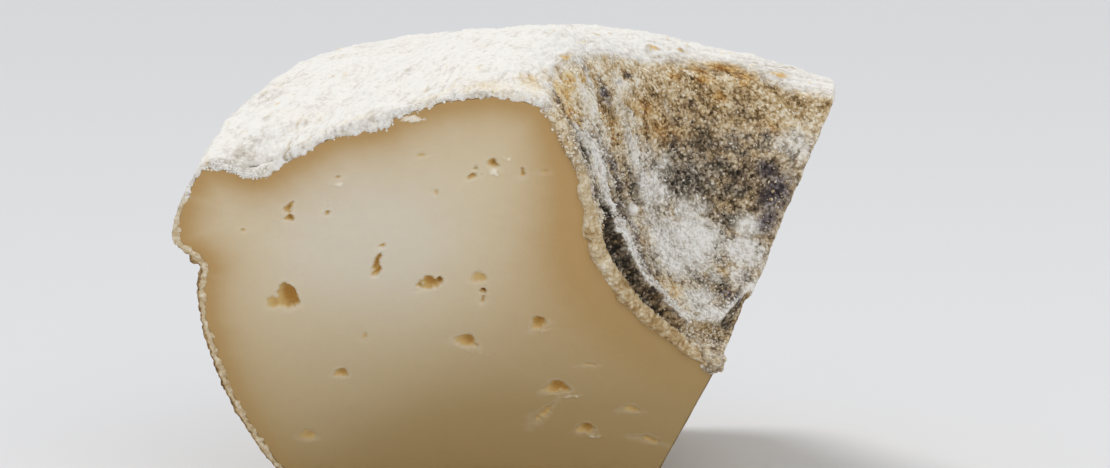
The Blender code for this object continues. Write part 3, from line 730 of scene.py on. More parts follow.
# The upper crater: its mould is the most varied part of the rind.
crater = {
    "lipWidth": 0.6, "lipHeight": 0.4, "creaseHeight": 0.2, "creaseAlong": 4.5, "creaseAcross": 0.9,
    "recessDepth": 1.4, "skinHeight": 0.6, "skinFade": 4.0,
    # radius and distance from the first cut of the skin's torn edge
    "skinEdge": [(4, 2.8), (8.5, 3.9), (10, 4.1), (12, 4.3), (14, 4.8), (16, 5.1), (18, 5.5), (20, 6.3),
                 (21, 6.9), (23, 7.6), (25, 7.2), (27, 6.2)],
    "skinTop": 27.0, "skinFloor": 8.2,
    "lumpSize": 11.0, "lumpHeight": 0.45, "crustSize": 0.75, "crustHeight": 0.38, "roughHeight": 0.38,
    "pitSize": 0.9, "pitDepth": 0.35, "pitWidth": 0.36, "pitFrom": 0.6, "blend": 3.0,
    "pleatAcross": 1.3, "pleatAlong": 10.0, "pleatHeight": 0.5, "halfway": 27.0,
    "crackDepth": 1.1, "crackWidth": 0.42, "foldDepth": 0.6, "foldWidth": 0.45, "foldRise": 0.25,
    # tone and warmth of the bare crust, of the recess, whose dark tone is painted shade, and of the lip, and
    # what each part adds to them
    "tone": 0.62, "tones": {"bloom": 0.3, "dark": -0.38, "shade": -0.15, "mottle": 0.17, "broad": 0.12,
                            "crumb": 0.28, "pits": -0.2, "pleat": 0.3, "nearRim": 0.08, "purple": -0.2},
    "recessShadeTone": 0.08, "recessShadeTones": {"tip": 0.3, "end": 0.16, "crumb": 0.35, "mottle": 0.2},
    "lipTone": -0.16, "lipTones": {"tip": -0.12, "crease": 0.15, "knots": 0.25},
    "warmth": 0.54, "warmths": {"tan": 0.5, "bloom": -0.45, "mottle": 0.3, "dark": -0.35, "nearRim": 0.4},
    "ledgeRadius": 42.3, "ledgeAt": 51.2, "ledgeFrom": 84.0, "ledgeHeight": 0.75,
    # angle and section length at which the rim's white begins
    "rimAt": [(0, 51.4), (5, 51.6), (14, 51.8), (24, 51.6), (32, 50.8), (45, 50.8), (58, 52.0), (66, 54.0),
              (78, 55.0), (84, 54.0), (87, 52.4), (90, 51.3), (98.4, 51.3)],
    "cracks": [[(40.8, 5.3), (39, 6), (37, 6.9), (35.3, 6.8), (33.6, 8.5), (31.6, 8.1), (29.7, 8.4),
                (28.3, 10.7), (26.5, 17.2), (25.3, 19.6)]],
    "foldLines": [[(36.8, 13.5), (35, 16), (33.2, 20.5), (31.4, 24), (29.5, 26.2), (27.4, 27.2),
                   (25.3, 26.2)], [(25.4, 23), (25.2, 26.5), (25.3, 29.5)], [(39.4, 36.9), (37.8, 35.5),
                                                                             (36.6, 35.6)], [(29.7, 40),
                                                                                             (28, 42.5),
                                                                                             (26, 43.5)]],
    # bands that run down the seam: reach, height, and lines of radius and angle
    "bands": {
        "white": (1.3, 0.4, [[(37, 7.5), (32.5, 15.5), (30.5, 16.9), (28.4, 18.3), (26, 21.1), (24.1, 22.7),
                              (20.9, 22), (18.1, 20.2), (13.7, 23.5), (9.4, 34)]]),
        "pale": (1.4, 0.35, [[(38, 41), (35.7, 41.9), (33.1, 42), (31, 44.2), (29.3, 45.6), (26.9, 48.3),
                              (22, 49), (16, 48)]]),
        "violet": (1.5, -0.25, [[(31.5, 26.5), (29.2, 33), (27.9, 32.6), (26.4, 30.4), (25.2, 28.4),
                                 (23.8, 33), (22.5, 35), (20.1, 30.5), (17.3, 31)]]),
        "brown": (1.2, -0.25, [[(29.7, 37.9), (28.4, 41), (26.9, 42.9), (25.3, 43), (23, 42), (19.6, 41),
                                (16.9, 37.7), (14, 33)], [(36, 32), (34, 35), (32, 36)]]),
    },
    # marks of growth: radius, angle, reach along the radius, reach across, strength
    "bloom": [(39.4, 30.3, 1.4, 1.6, 0.9), (8.0, 88, 2.0, 1.4, 0.5), (36.1, 50.5, 1.4, 1.6, 0.6),
              (36.6, 59.9, 1.4, 1.6, 0.6), (33.4, 53.1, 1.2, 1.4, 0.5), (29.9, 57.8, 2.2, 2.4, 0.55),
              (26.1, 72.8, 1.4, 2.0, 0.6), (28.9, 84.3, 1.4, 2.0, 0.35), (36.2, 86.7, 1.6, 1.8, 0.5),
              (33.4, 78.7, 1.4, 1.8, 0.4), (18.4, 30.9, 1.6, 1.0, 0.5), (16.1, 85.5, 1.4, 1.4, 0.5),
              (8.9, 83.4, 1.4, 1.2, 0.6), (38.3, 28.6, 1.6, 1.6, 0.6), (38.5, 39.2, 1.4, 1.4, 0.4),
              (41.5, 30, 1.6, 3.0, 0.6), (40.5, 38, 1.4, 2.4, 0.5), (20.5, 62, 4.2, 7.0, 1.0),
              (22.5, 72, 3.2, 5.0, 1.0), (18, 52, 3.0, 4.0, 0.85), (22, 91, 2.6, 3.2, 1.0),
              (25.5, 90.5, 1.6, 2.6, 0.9), (25.5, 68, 1.8, 3.0, 0.9), (17.5, 91, 2.0, 2.2, 0.8),
              (12, 56, 3.0, 5.0, 0.7), (16.5, 80, 1.4, 2.0, 0.7), (39, 52.5, 1.2, 1.4, 0.6),
              (40.6, 31, 1.3, 1.6, 0.7), (38.6, 16, 1.2, 0.9, 0.7), (36.6, 9.5, 1.6, 0.7, 0.6),
              (10, 78, 2.0, 4.0, 1.0), (13, 72, 2.2, 2.4, 0.75), (14, 29, 3.6, 1.7, 0.95),
              (20, 28, 5.0, 1.8, 0.6), (27.3, 54, 2.4, 3.8, 0.9), (18, 40, 4.0, 2.0, 0.5),
              (32, 14.5, 4.6, 1.6, 0.7), (31.5, 46, 2.8, 2.0, 0.6), (28, 22, 2.4, 1.2, 0.5),
              (36.5, 26, 1.4, 3.0, 0.6), (38.5, 23, 1.6, 3.0, 0.6), (34.5, 46, 1.8, 3.0, 0.7),
              (31, 51, 2.0, 3.0, 0.5), (35.5, 93, 3.4, 4.6, 0.6), (38.8, 44, 1.6, 4.0, 0.8),
              (28, 48, 2.4, 2.4, 0.6), (23, 49, 2.0, 1.6, 0.5), (38.5, 96, 2.4, 2.0, 0.4),
              (34.5, 2.5, 5.0, 1.6, 0.6), (28, 5, 3.0, 1.6, 0.4)],
    "dark": [(38.4, 93.7, 2.4, 1.4, 0.6), (34.5, 95.3, 2.4, 1.2, 0.55), (41.8, 90.2, 1.2, 1.4, 0.5),
             (26.6, 87.7, 1.4, 1.4, 0.5), (14.5, 93.5, 3.0, 0.5, 0.6), (24.3, 47.9, 1.2, 1.2, 0.4),
             (24, 15, 2.8, 1.5, 1.0), (21, 17, 2.0, 1.2, 0.95), (17.5, 14, 3.0, 2.0, 0.75),
             (13.5, 17, 3.0, 1.6, 0.6), (29.3, 66, 3.0, 6.0, 1.0), (29.5, 80, 3.0, 5.0, 0.9),
             (28.0, 74, 2.2, 3.4, 0.8), (31.4, 21.5, 1.9, 1.9, 1.0), (36.5, 10.5, 1.6, 1.0, 0.8),
             (34.5, 13, 1.4, 1.0, 0.7), (33, 20, 0.9, 1.4, 0.9), (32.5, 62, 2.2, 4.0, 0.75),
             (35.6, 63, 2.0, 2.8, 0.95), (37.5, 66, 2.2, 2.6, 0.8), (36, 71, 3.0, 3.6, 0.5),
             (33, 70, 2.6, 5.4, 0.8), (40.0, 80, 2.0, 3.4, 0.7), (38, 79, 2.0, 2.6, 0.5),
             (31.4, 89, 1.4, 2.2, 0.7), (33, 80, 2.4, 4.0, 0.6), (40.8, 92, 1.0, 3.6, 0.7),
             (40, 68, 1.8, 4.0, 0.5), (27.8, 41, 1.7, 1.5, 0.7), (17, 63, 1.8, 1.2, 0.5),
             (6.6, 50, 1.4, 3.0, 0.9), (15.5, 82, 1.0, 2.0, 0.7), (6.4, 72, 1.3, 3.2, 0.95),
             (12, 93, 3.0, 1.2, 0.3), (22.5, 81.5, 3.4, 0.9, 0.75), (12, 62, 2.0, 1.0, 0.5),
             (33, 51, 1.4, 2.4, 0.5), (35.6, 47, 1.0, 2.6, 0.5), (29.5, 53, 0.8, 3.0, 0.6),
             (37.8, 49.4, 0.7, 1.0, 1.0), (11.4, 62, 1.6, 1.6, 0.6), (40, 48.8, 0.5, 1.2, 0.9),
             (35, 86, 2.4, 3.0, 0.5), (37.8, 56, 1.6, 2.8, 0.5), (37, 3, 0.8, 2.0, 0.8),
             (42.5, 86, 0.8, 1.4, 0.7), (25.5, 84, 1.2, 4.0, 0.6), (18, 94.5, 1.6, 1.0, 0.5)],
    "ochre": [(40.7, 18, 1.3, 2.2, 1.0), (39.4, 9.6, 1.5, 1.8, 1.0), (40.1, 12.5, 1.5, 1.8, 0.95),
              (40.2, 25.6, 1.1, 1.8, 0.6), (41.8, 10, 1.0, 2.4, 0.8), (33, 34.5, 2.0, 1.6, 0.5),
              (44.3, 77, 1.3, 3.4, 0.6), (41.7, 71.8, 1.0, 2.2, 0.6), (42, 80.1, 0.9, 1.8, 0.5),
              (41.4, 63.5, 1.0, 1.8, 0.5), (39.4, 75, 1.2, 2.0, 0.5), (43, 54, 0.6, 1.2, 0.6),
              (36, 52, 1.6, 5.0, 0.45), (26, 3, 2.4, 1.2, 0.45), (13.2, 46, 1.4, 1.6, 0.5),
              (37.5, 12, 1.6, 2.2, 0.7), (35.5, 30, 2.0, 2.8, 0.4), (36.5, 88, 1.6, 3.4, 0.35),
              (37, 68, 3.0, 6.0, 0.2), (33.5, 57, 2.0, 6.0, 0.4)],
    "purple": [(29.3, 94.5, 2.8, 2.8, 1.0), (26.6, 95.7, 1.8, 2.0, 0.95), (31.2, 90, 1.5, 2.6, 0.85),
               (30, 85.5, 1.6, 2.6, 0.5), (14.0, 88, 0.9, 2.6, 0.95), (37.8, 35.2, 2.2, 1.7, 1.0),
               (40.6, 6.0, 1.7, 0.9, 1.0), (42.3, 7.2, 1.2, 1.2, 0.9), (40.9, 31, 0.5, 2.0, 0.7),
               (39, 44, 0.5, 1.4, 0.7), (40, 49, 0.5, 1.4, 0.8), (27, 86, 2.0, 3.0, 0.35),
               (26, 62, 2.0, 3.0, 0.25), (18, 95, 1.4, 1.2, 0.5)],
    "tan": [(35.5, 55, 4.0, 11, 0.95), (37, 72, 5.0, 9, 0.6), (33.5, 35, 2.6, 3.4, 0.9),
            (38.5, 90, 4.0, 6, 0.7), (13, 44, 3.0, 3.0, 0.8), (17.5, 87, 2.0, 2.6, 0.35),
            (40, 10, 4.0, 6, 0.3), (7, 65, 2.0, 6, 0.8), (30, 84, 4.0, 6, 0.5), (26, 3, 4.0, 2.5, 0.7),
            (12, 5, 8.0, 4.0, 0.5)],
}


def shifts(points, size, reach, seed):
    # two noises that push a place about
    return reach * layeredNoise(points, size, 3, seed), reach * layeredNoise(points, size, 3, seed + 9)


def tornSkin(place, rough, fine):
    # The recess behind the lip, and the skin that stands over it and falls away behind its torn edge. Also
    # the distance in from that edge, and 1 wherever no recess is.
    c = crater
    p, x, r = place["points"], place["fromFirst"], place["radius"]
    edge = onTable(r, c["skinEdge"]) + 0.9 * rough[0] + 1.3 * fine[0] + 0.12 * gradientNoise(p, 0.8, 7)
    floor = c["skinFloor"] + 0.7 * rough[1] + 0.7 * fine[1] - 3.5 * falling(place["angle"], 35, 20)
    strip = place["fromSecond"] - 0.35 * (15.5 - r) + 0.5 * fine[0]
    top = falling(r, c["skinTop"], 2.5)
    skin = np.minimum(np.where(top > 0, x - edge, 9), np.minimum(r - floor, strip))
    along = rising(r, 4, 5) * top
    deep = along * rising(x - c["lipWidth"], 0.8 * fine[1], 1.1)
    deep = deep + (1 - along) * 0.6 * falling(r, 10, 3) * rising(x, 2.2, 1.5)
    near = rising(r, 3.5, 4) * falling(r, c["skinTop"] + 3, 5) * np.exp(-np.maximum(skin, 0) / c["skinFade"])
    over = smoothStep(skin / 0.55 + 0.5)
    lifted = near * (over * (c["recessDepth"] + c["skinHeight"]) - c["recessDepth"])
    return over * lifted - (1 - over) * c["recessDepth"] * deep, skin, 1 - (1 - over) * deep


def seamRelief(place, rough, fine, onLip, onSkin):
    # the creased and knotted lip along the first cut, and the bands and pleats that run down the seam
    c = crater
    p, x, r = place["points"], place["fromFirst"], place["radius"]
    lip = c["lipHeight"] * bump((x - 0.4) / 0.7) * rising(r, 4, 4) * falling(r, 44, 6)
    crease = ridges(r / c["creaseAlong"], (x + 0.6 * fine[0]) / c["creaseAcross"], 11)
    knotted = 0.2 * layeredNoise(p, 0.75, 2, 12) + 0.3 * gradientNoise(p, 2.2, 13)
    bands = {name: bump(folds(place, lines, rough) / reach) for name, (reach, _, lines) in c["bands"].items()}
    pleat = ridges(r / c["pleatAlong"], (x + 0.8 * rough[0]) / c["pleatAcross"], 21, 2.2)
    pleat = pleat * between(x, 3.0, 17, 5) * between(r, 22, 45, 8) * onSkin
    place.update(crease=crease, knotted=knotted, pleat=pleat, **bands)
    height = lip * (1 + 0.8 * rough[0]) + onLip * (c["creaseHeight"] * crease + knotted)
    height = height + onSkin * sum(c["bands"][name][1] * bands[name] for name in bands)
    return height + c["pleatHeight"] * pleat


def tornLines(place, rough, fine):
    # cracks, raised folds with a groove in them, the ledge under the rim and the hollow round the nodule
    c = crater
    r = place["radius"]
    crack, fold = folds(place, c["cracks"], fine), folds(place, c["foldLines"], fine)
    height = c["foldRise"] * bump((fold - 1.0) / 0.6) - c["foldDepth"] * bump(fold / c["foldWidth"])
    height = height - c["crackDepth"] * bump(crack / c["crackWidth"])
    ledge = rising(place["angle"], c["ledgeFrom"], 4) * falling(r, 50, 6)
    ledge = ledge * rising(r - c["ledgeRadius"], 1.3 * fine[0] + 1.1 * rough[0], 0.5)
    byNodule = np.hypot(r - nodule["radius"], place["arc"] - math.radians(nodule["angle"]) * r)
    # the nodule's surround is kept for the painted shadow round it
    place.update(crackAway=crack, foldAway=fold, byNodule=bump(byNodule / 1.2))
    return height + c["ledgeHeight"] * ledge - nodule["hollow"] * bump(byNodule / 1.3)


def crustRelief(place, rough, onLip):
    # the mould's grains, pits and lumps: calmer on the lip, the rim and the bloom, rougher where it is dark
    c = crater
    p = place["points"]
    calm, deepened = patches(place, c["bloom"], rough), patches(place, c["dark"], rough)
    rim = rising(place["s"], 49, 4)
    cells, share = cellNoise(p, c["crustSize"], 2)
    crumb = (0.62 - cells) * (0.45 + 1.1 * share)
    pits, pick = cellNoise(p, c["pitSize"], 6)
    pits = (pick > c["pitFrom"]) * smoothStep(1.25 - pits / c["pitWidth"])
    pits = pits * (1 - 0.7 * onLip) * (1 - 0.7 * calm) * (1 - 0.8 * rim)
    strength = (1 - 0.4 * calm) * (1 + 0.5 * deepened) * (1 - 0.7 * onLip) * (1 - 0.6 * rim)
    place.update(crumb=crumb, pits=pits)
    height = c["crustHeight"] * crumb + c["roughHeight"] * (1 - 0.5 * calm) * layeredNoise(p, 1.3, 3, 41)
    height = strength * height - c["pitDepth"] * pits
    return height + c["lumpHeight"] * gradientNoise(p, c["lumpSize"], 1) + 0.3 * layeredNoise(p, 2.6, 3, 31)


def craterRelief(place):
    # Recess and skin, lip and seam, torn lines and crust together. At the rim they pass into the wall's.
    p, x, r = place["points"], place["fromFirst"], place["radius"]
    rough, fine = shifts(p, 3.0, 0.9, 3), shifts(p, 1.3, 0.45, 5)
    onLip = bump((x - 0.3) / 1.1) * (1 - rising(r, 44, 5))
    height, skin, onSkin = tornSkin(place, rough, fine)
    height = height + seamRelief(place, rough, fine, onLip, onSkin)
    height = height + tornLines(place, rough, fine) + crustRelief(place, rough, onLip)
    toWall = rising(place["s"], craterEnd - crater["blend"], crater["blend"])
    place.update(skin=skin, onSkin=onSkin, rough=rough[0], roughAcross=rough[1], wallCrack=9 + 0 * r,
                 chunk=0 * r)
    height = height * (0.5 + 0.5 * smoothStep(place["fromSecond"] / 1.5))
    height = height + toWall * (wallHeight(place) - height)
    return place["outer"] * height + edgeRelief(place)


def rimGrowth(place, rough):
    # how far the rim's white reaches into the crater, by angle
    reach = onTable(place["angle"], crater["rimAt"]) + 2.4 * rough
    return smoothStep((place["s"] - reach) / 4.4 + 0.5)


def craterColour(place):
    # The marks, broken by noise, then the recess's painted shade, the lip and the rim's white over them.
    # Growth is the tone, warmth, ochre and purple, and form is the painted shade of pits, cracks and grooves,
    # the cut edge, the calm and the crests.
    c = crater
    p, x, r = place["points"], place["fromFirst"], place["radius"]
    finer = shifts(p, 1.3, 0.7, 61)
    warp = 0.6 * place["rough"] + 0.6 * finer[0], 0.6 * place["roughAcross"] + 0.6 * finer[1]
    bloom, dark, ochre, purple, tan = (patches(place, c[kind], warp)
                                       for kind in ("bloom", "dark", "ochre", "purple", "tan"))
    rim = rimGrowth(place, warp[0])
    high = rising(r, 32, 6)
    lip = bump(np.maximum(x - 0.5, 0) / 0.6) * (1 - rim) * (1 - 0.8 * high)
    skinTop = c["skinTop"] + 1
    skinEdge = bump((place["skin"] - 0.55) / 0.5) * falling(r, skinTop, 3) * rising(r, 5, 3)
    # the recess under the skin's edge, where the tone is painted shade
    shadedRecess = smoothStep((0.2 - place["skin"]) / 0.3 + 0.5) * (1 - lip) * falling(r, skinTop, 2)
    # painted shade along the cracks and in the folds' grooves
    lines = highest(bump(place["crackAway"] / 0.7), 0.8 * bump(place["foldAway"] / 0.36))
    # painted shadow under the white ledge at the rim
    ledgeShadow = rising(place["angle"], c["ledgeFrom"], 4) * bump((place["s"] - c["ledgeAt"] + 0.9) / 0.5)
    mottle, broad = layeredNoise(p, 1.9, 3, 71), layeredNoise(p, 5.0, 2, 72)
    bloom = highest(smoothStep(1.3 * bloom - 0.15), 0.95 * skinEdge)
    bloom = highest(bloom, 0.9 * place["white"] * place["onSkin"] * (1 - dark))
    bloom = bloom * (1 - 0.9 * shadedRecess) * (1 - lip)
    bloom = highest(bloom, 0.7 * place["pale"])
    # the dark mould marks, with painted shadow round the nodule and painted shade along the cracks
    dark = highest(dark, 0.7 * place["byNodule"], 0.8 * bump(place["crackAway"] / 1.4))
    dark = dark * (1 - 0.9 * lip) * (1 - 0.5 * skinEdge)
    shade = highest(place["violet"], 0.9 * place["brown"]) * (1 - lip) * (1 - 0.7 * skinEdge)
    purple = highest(purple, 0.7 * place["violet"] * (1 - shadedRecess))
    nearRim = bump((place["s"] - 50) / 4) * (1 - rim)
    tone = weighed(c["tone"], c["tones"], {
        "bloom": bloom, "dark": dark * (1 - 0.6 * bloom), "shade": shade, "mottle": mottle, "broad": broad,
        "crumb": place["crumb"], "pits": place["pits"], "pleat": place["pleat"] * (1 - 0.5 * lip),
        "nearRim": nearRim, "purple": purple * (1 - place["violet"])})
    # painted shade: the dark tone of the recess behind the lip
    recessShade = weighed(c["recessShadeTone"], c["recessShadeTones"], {
        "tip": falling(r, 19, 7), "end": falling(r, 12, 4), "crumb": place["crumb"], "mottle": mottle})
    tone = tone + shadedRecess * (recessShade - tone)
    onLip = weighed(c["lipTone"], c["lipTones"], {
        "tip": falling(r, 22, 8), "crease": highest(place["crease"], place["ridge"]),
        "knots": place["knotted"]})
    # the lip's own tone, less the painted shadow under the ledge and a little for the ochre
    tone = tone + lip * onLip - 0.2 * ledgeShadow - 0.1 * ochre * (1 - rim)
    tone = tone + rim * (0.98 + 0.12 * mottle - tone)
    warm = weighed(c["warmth"], c["warmths"], {
        "tan": tan, "bloom": bloom, "mottle": mottle, "dark": dark, "nearRim": nearRim})
    warm = np.clip(warm, 0, 1) * (1 - 0.6 * rim)
    # painted shade in the pits and along the cracks and grooves
    pit = highest(0.7 * place["pits"] * (1 - 0.8 * rim), lines)
    edge = highest(lip * place["outer"], place["onEdge"] * (0.5 + 0.5 * place["firstSide"]))
    edge = edge * (1 - 0.8 * high)
    calm = highest(0.28 * bloom + 0.2 * rising(tone, 0.65, 0.3), 0.45 * lip)
    growth = tone / toneRange, warm, ochre * (1 - 0.5 * rim), purple * (1 - rim) * (1 - 0.7 * lip)
    form = pit, edge * (1 - 0.6 * rim), calm + (1 - calm) * rim, smoothStep(1.6 * place["crumb"] - 0.35)
    blend = rising(place["s"], craterEnd - 1.2, 1.2)
    return [[a + blend * (b - a) for a, b in zip(own, other)]
            for own, other in zip((growth, form), wallColour(place))]


# The shoulder, band and lower shoulder: white bloom with fine wrinkles that run along the wall.
wall = {
    "swellings": [(61.5, 40, 0.95, 6), (55.0, 47, -0.5, 7),
                  (77.0, 26, 0.55, 14)],   # radius, angle, height, reach
    "wrinkleAcross": 0.8, "wrinkleAlong": 5.5, "wrinkleHeight": 0.19, "roughHeight": 0.22,
    "creaseAcross": 1.1, "creaseAlong": 18.0, "creaseWidth": 0.09, "creaseDepth": 0.2,
    "lumpSize": 11.0, "lumpHeight": 0.45, "crustSize": 3.2, "crustHeight": 0.28, "grainSize": 0.8,
    "grainHeight": 0.2, "flecks": 0.93, "crackDepth": 0.8, "crackWidth": 0.3, "chunkHeight": 0.6,
    # tone, warmth and calm of the plain wall, and what each part adds to them
    "tone": 1.02, "tones": {"mottle": 0.12, "under": -0.34, "grey": -0.26, "warmth": -0.16, "wrinkle": 0.16,
                            "crease": -0.24, "grains": 0.12, "chunk": -0.25, "firstEdge": -0.04},
    "warmth": 0.1, "warmths": {"mottle": 0.35, "broad": 0.3, "warmth": 0.7, "grey": -0.2, "firstEdge": 0.15,
                               "crease": 0.4, "under": 0.5, "bare": 0.5},
    "calm": 0.92, "calms": {"under": -0.5, "marks": -0.3, "firstEdge": -0.2, "edge": -0.2, "bare": -0.5},
    # section length and distance from the first cut of the cracks' points
    "cracks": [[(95.4, 0.8), (97.4, 0.7), (99.2, 0.95), (101.3, 1.2)], [(93.4, 0.7), (92.2, 0.95),
                                                                        (90.8, 1.2), (89.6, 1.0)],
               [(96.0, 1.6), (94.4, 1.7), (93.0, 1.5)]],
    # marks: section length, angle, reach along the section, reach across, strength
    # the first three grey marks lie in the open notch by the first cut and are painted shade of its valley
    "grey": [(97.4, 2.3, 2.4, 2.0, 1.0), (95.6, 4.2, 2.0, 2.0, 0.6), (99.0, 1.2, 1.6, 1.4, 0.7),
             (100.8, 15.5, 2.5, 3.5, 0.5), (106, 25.5, 1.5, 3.0, 0.4), (76.5, 14.8, 0.8, 2.4, 0.6),
             (117, 2.5, 5.0, 3.0, 0.4), (110, 5, 5.0, 4.0, 0.3), (84, 55, 6, 9, 0.4), (70, 75, 6, 9, 0.4),
             (56, 88, 5.0, 11, 0.4)],
    "warm": [(96.0, 12.4, 0.5, 0.6, 1.0), (68.8, 1.0, 4.0, 1.2, 0.4), (61, 2.0, 5.0, 2.2, 0.45),
             (55, 5.0, 3.0, 3.2, 0.6), (53.4, 9, 1.4, 3.0, 0.5), (54.2, 77, 1.3, 3.4, 0.7),
             (56.6, 69, 0.5, 0.9, 0.7), (53.6, 54, 0.6, 1.2, 0.5), (80, 1.2, 6.0, 0.8, 0.3),
             (90, 60, 5, 7, 0.3), (101, 20, 3, 5, 0.25), (88, 8, 4, 5, 0.2)],
    "ochre": [(50.6, 17, 1.6, 2.4, 1.0), (51.6, 9, 1.4, 2.0, 0.5), (53.6, 12, 1.0, 2.4, 0.3),
              (51.8, 24, 1.2, 2.6, 0.8), (53.8, 77, 1.3, 3.2, 0.55), (52.2, 71, 1.2, 2.4, 0.5),
              (52.4, 81, 1.0, 2.0, 0.5), (51.5, 63, 1.0, 1.8, 0.4), (55.8, 62, 0.5, 1.0, 0.8),
              (54.5, 88, 0.7, 2.0, 0.6), (57, 47, 0.6, 1.2, 0.5), (54.6, 38, 0.8, 2.0, 0.4)],
    "chunks": [(103.8, 38.0, 0.9, 1.8, 1.0), (57, 69, 0.35, 0.6, 0.6), (120.8, 0.5, 0.8, 0.9, 1.0),
               (55.5, 60, 0.3, 0.7, 0.7)],
}


def wallRelief(place):
    # the wall's own relief, with cracks and torn chunks where the notch opens
    w = wall
    p, s = place["points"], place["s"]
    height = wallHeight(place)
    at = dict(place, radius=s, arc=place["fromFirst"])
    crack = folds(at, w["cracks"], shifts(p, 1.2, 0.25, 16), straight=True)
    chunk = patches(place, w["chunks"], shifts(p, 1.0, 0.3, 18), "s")
    height = height - w["crackDepth"] * bump(crack / w["crackWidth"])
    height = height + w["chunkHeight"] * smoothStep(1.6 * chunk - 0.3)
    place.update(wallCrack=crack, chunk=chunk)
    return place["outer"] * height + edgeRelief(place)


def wallColour(place):
    # White, mottled and broken by the marks, browner low on the wall and where the rind thins out, and bare
    # where the crater's colours come over the rim. The same fields as the crater's.
    w = wall
    p, s, edge = place["points"], place["s"], place["onEdge"] * (0.4 + 0.6 * place["firstSide"])
    mottle, broad = layeredNoise(p, 1.5, 3, 91), layeredNoise(p, 6.0, 3, 93)
    warp = shifts(p, 1.6, 0.8, 62)
    side = rising(s - shoulderEnd, 7, 2) * falling(s, lowerShoulderEnd, 4)
    under, low = rising(s, 108, 12), rising(s, 106, 5)
    grey, warmth, stain = (patches(place, w[kind], warp, "s") for kind in ("grey", "warm", "ochre"))
    firstEdge = bump(place["fromFirst"] / 1.5) * rising(s, 50, 4)
    bare = (1 - rimGrowth(place, 0.7 * warp[0])) * falling(s, 60, 3)
    tone = weighed(w["tone"], w["tones"], {
        "mottle": mottle, "under": under * (1 + 0.8 * broad), "grey": grey, "warmth": warmth,
        "wrinkle": place["wrinkle"], "crease": place["wallCrease"], "grains": 0.45 - place["cells"],
        "chunk": place["chunk"], "firstEdge": firstEdge * (1 + mottle)})
    tone = tone - 0.5 * low * bump(place["fromFirst"] / 1.8) * (1 - edge)
    cut = edge * (0.1 + 0.9 * low)
    tone = tone + cut * low * (0.68 + 0.2 * mottle - tone)
    tone = tone - 0.55 * rising(s, 116, 6) * edge * rising(place["outer"], 0.62, 0.2)
    tone = tone - 0.35 * stain - bare * (0.36 + 0.2 * mottle)
    warm = weighed(w["warmth"], w["warmths"], {
        "mottle": mottle, "broad": broad, "warmth": warmth, "grey": grey, "firstEdge": firstEdge,
        "crease": place["wallCrease"], "under": under, "bare": bare})
    nearRim = falling(s, 66, 8) * rising(place["angle"], 20, 15)
    fleck = (place["cellShare"] > w["flecks"]) * smoothStep(1.2 - place["cells"] / 0.4)
    fleck = fleck * (0.4 + 0.6 * nearRim)
    # painted shade in the wall's cracks
    crack = 0.85 * bump(place["wallCrack"] / (1.1 * w["crackWidth"])) * place["outer"]
    ochre = highest(0.55 * warmth + 0.5 * place["chunk"], 0.9 * fleck, stain)
    calm = weighed(w["calm"], w["calms"], {
        "under": under * (1 - edge), "marks": highest(grey, warmth, stain), "firstEdge": firstEdge,
        "edge": edge, "bare": bare})
    crests = smoothStep(1.5 * (0.45 - place["cells"]))
    growth = tone / toneRange, warm, ochre, 0.3 * grey * side
    return growth, (highest(crack, 0.5 * fleck), cut, calm, crests)


rindFinish = rindMaterial("mouldyRind")
inCrater, onWall = ("mould", craterRelief, craterColour), ("rind", wallRelief, wallColour)
# name, section lengths, row spacing, columns, and how it is finished
for name, start, stop, spacing, columns, (slot, relief, colour) in (
        ("craterHeart", rind["startRadius"], crater["halfway"], 0.175, 400, inCrater),
        ("craterRind", crater["halfway"], craterEnd, 0.175, 400, inCrater),
        ("shoulderRind", craterEnd, shoulderEnd, 0.25, 470, onWall),
        ("waistRind", shoulderEnd, lowerShoulderEnd, 0.38, 320, onWall),
        ("undersideRind", lowerShoulderEnd, sectionEnd - rind["startRadius"], 0.33, 230, onWall)):
    rindSlab(name, rindFinish, start, stop, spacing, columns, relief, colour)

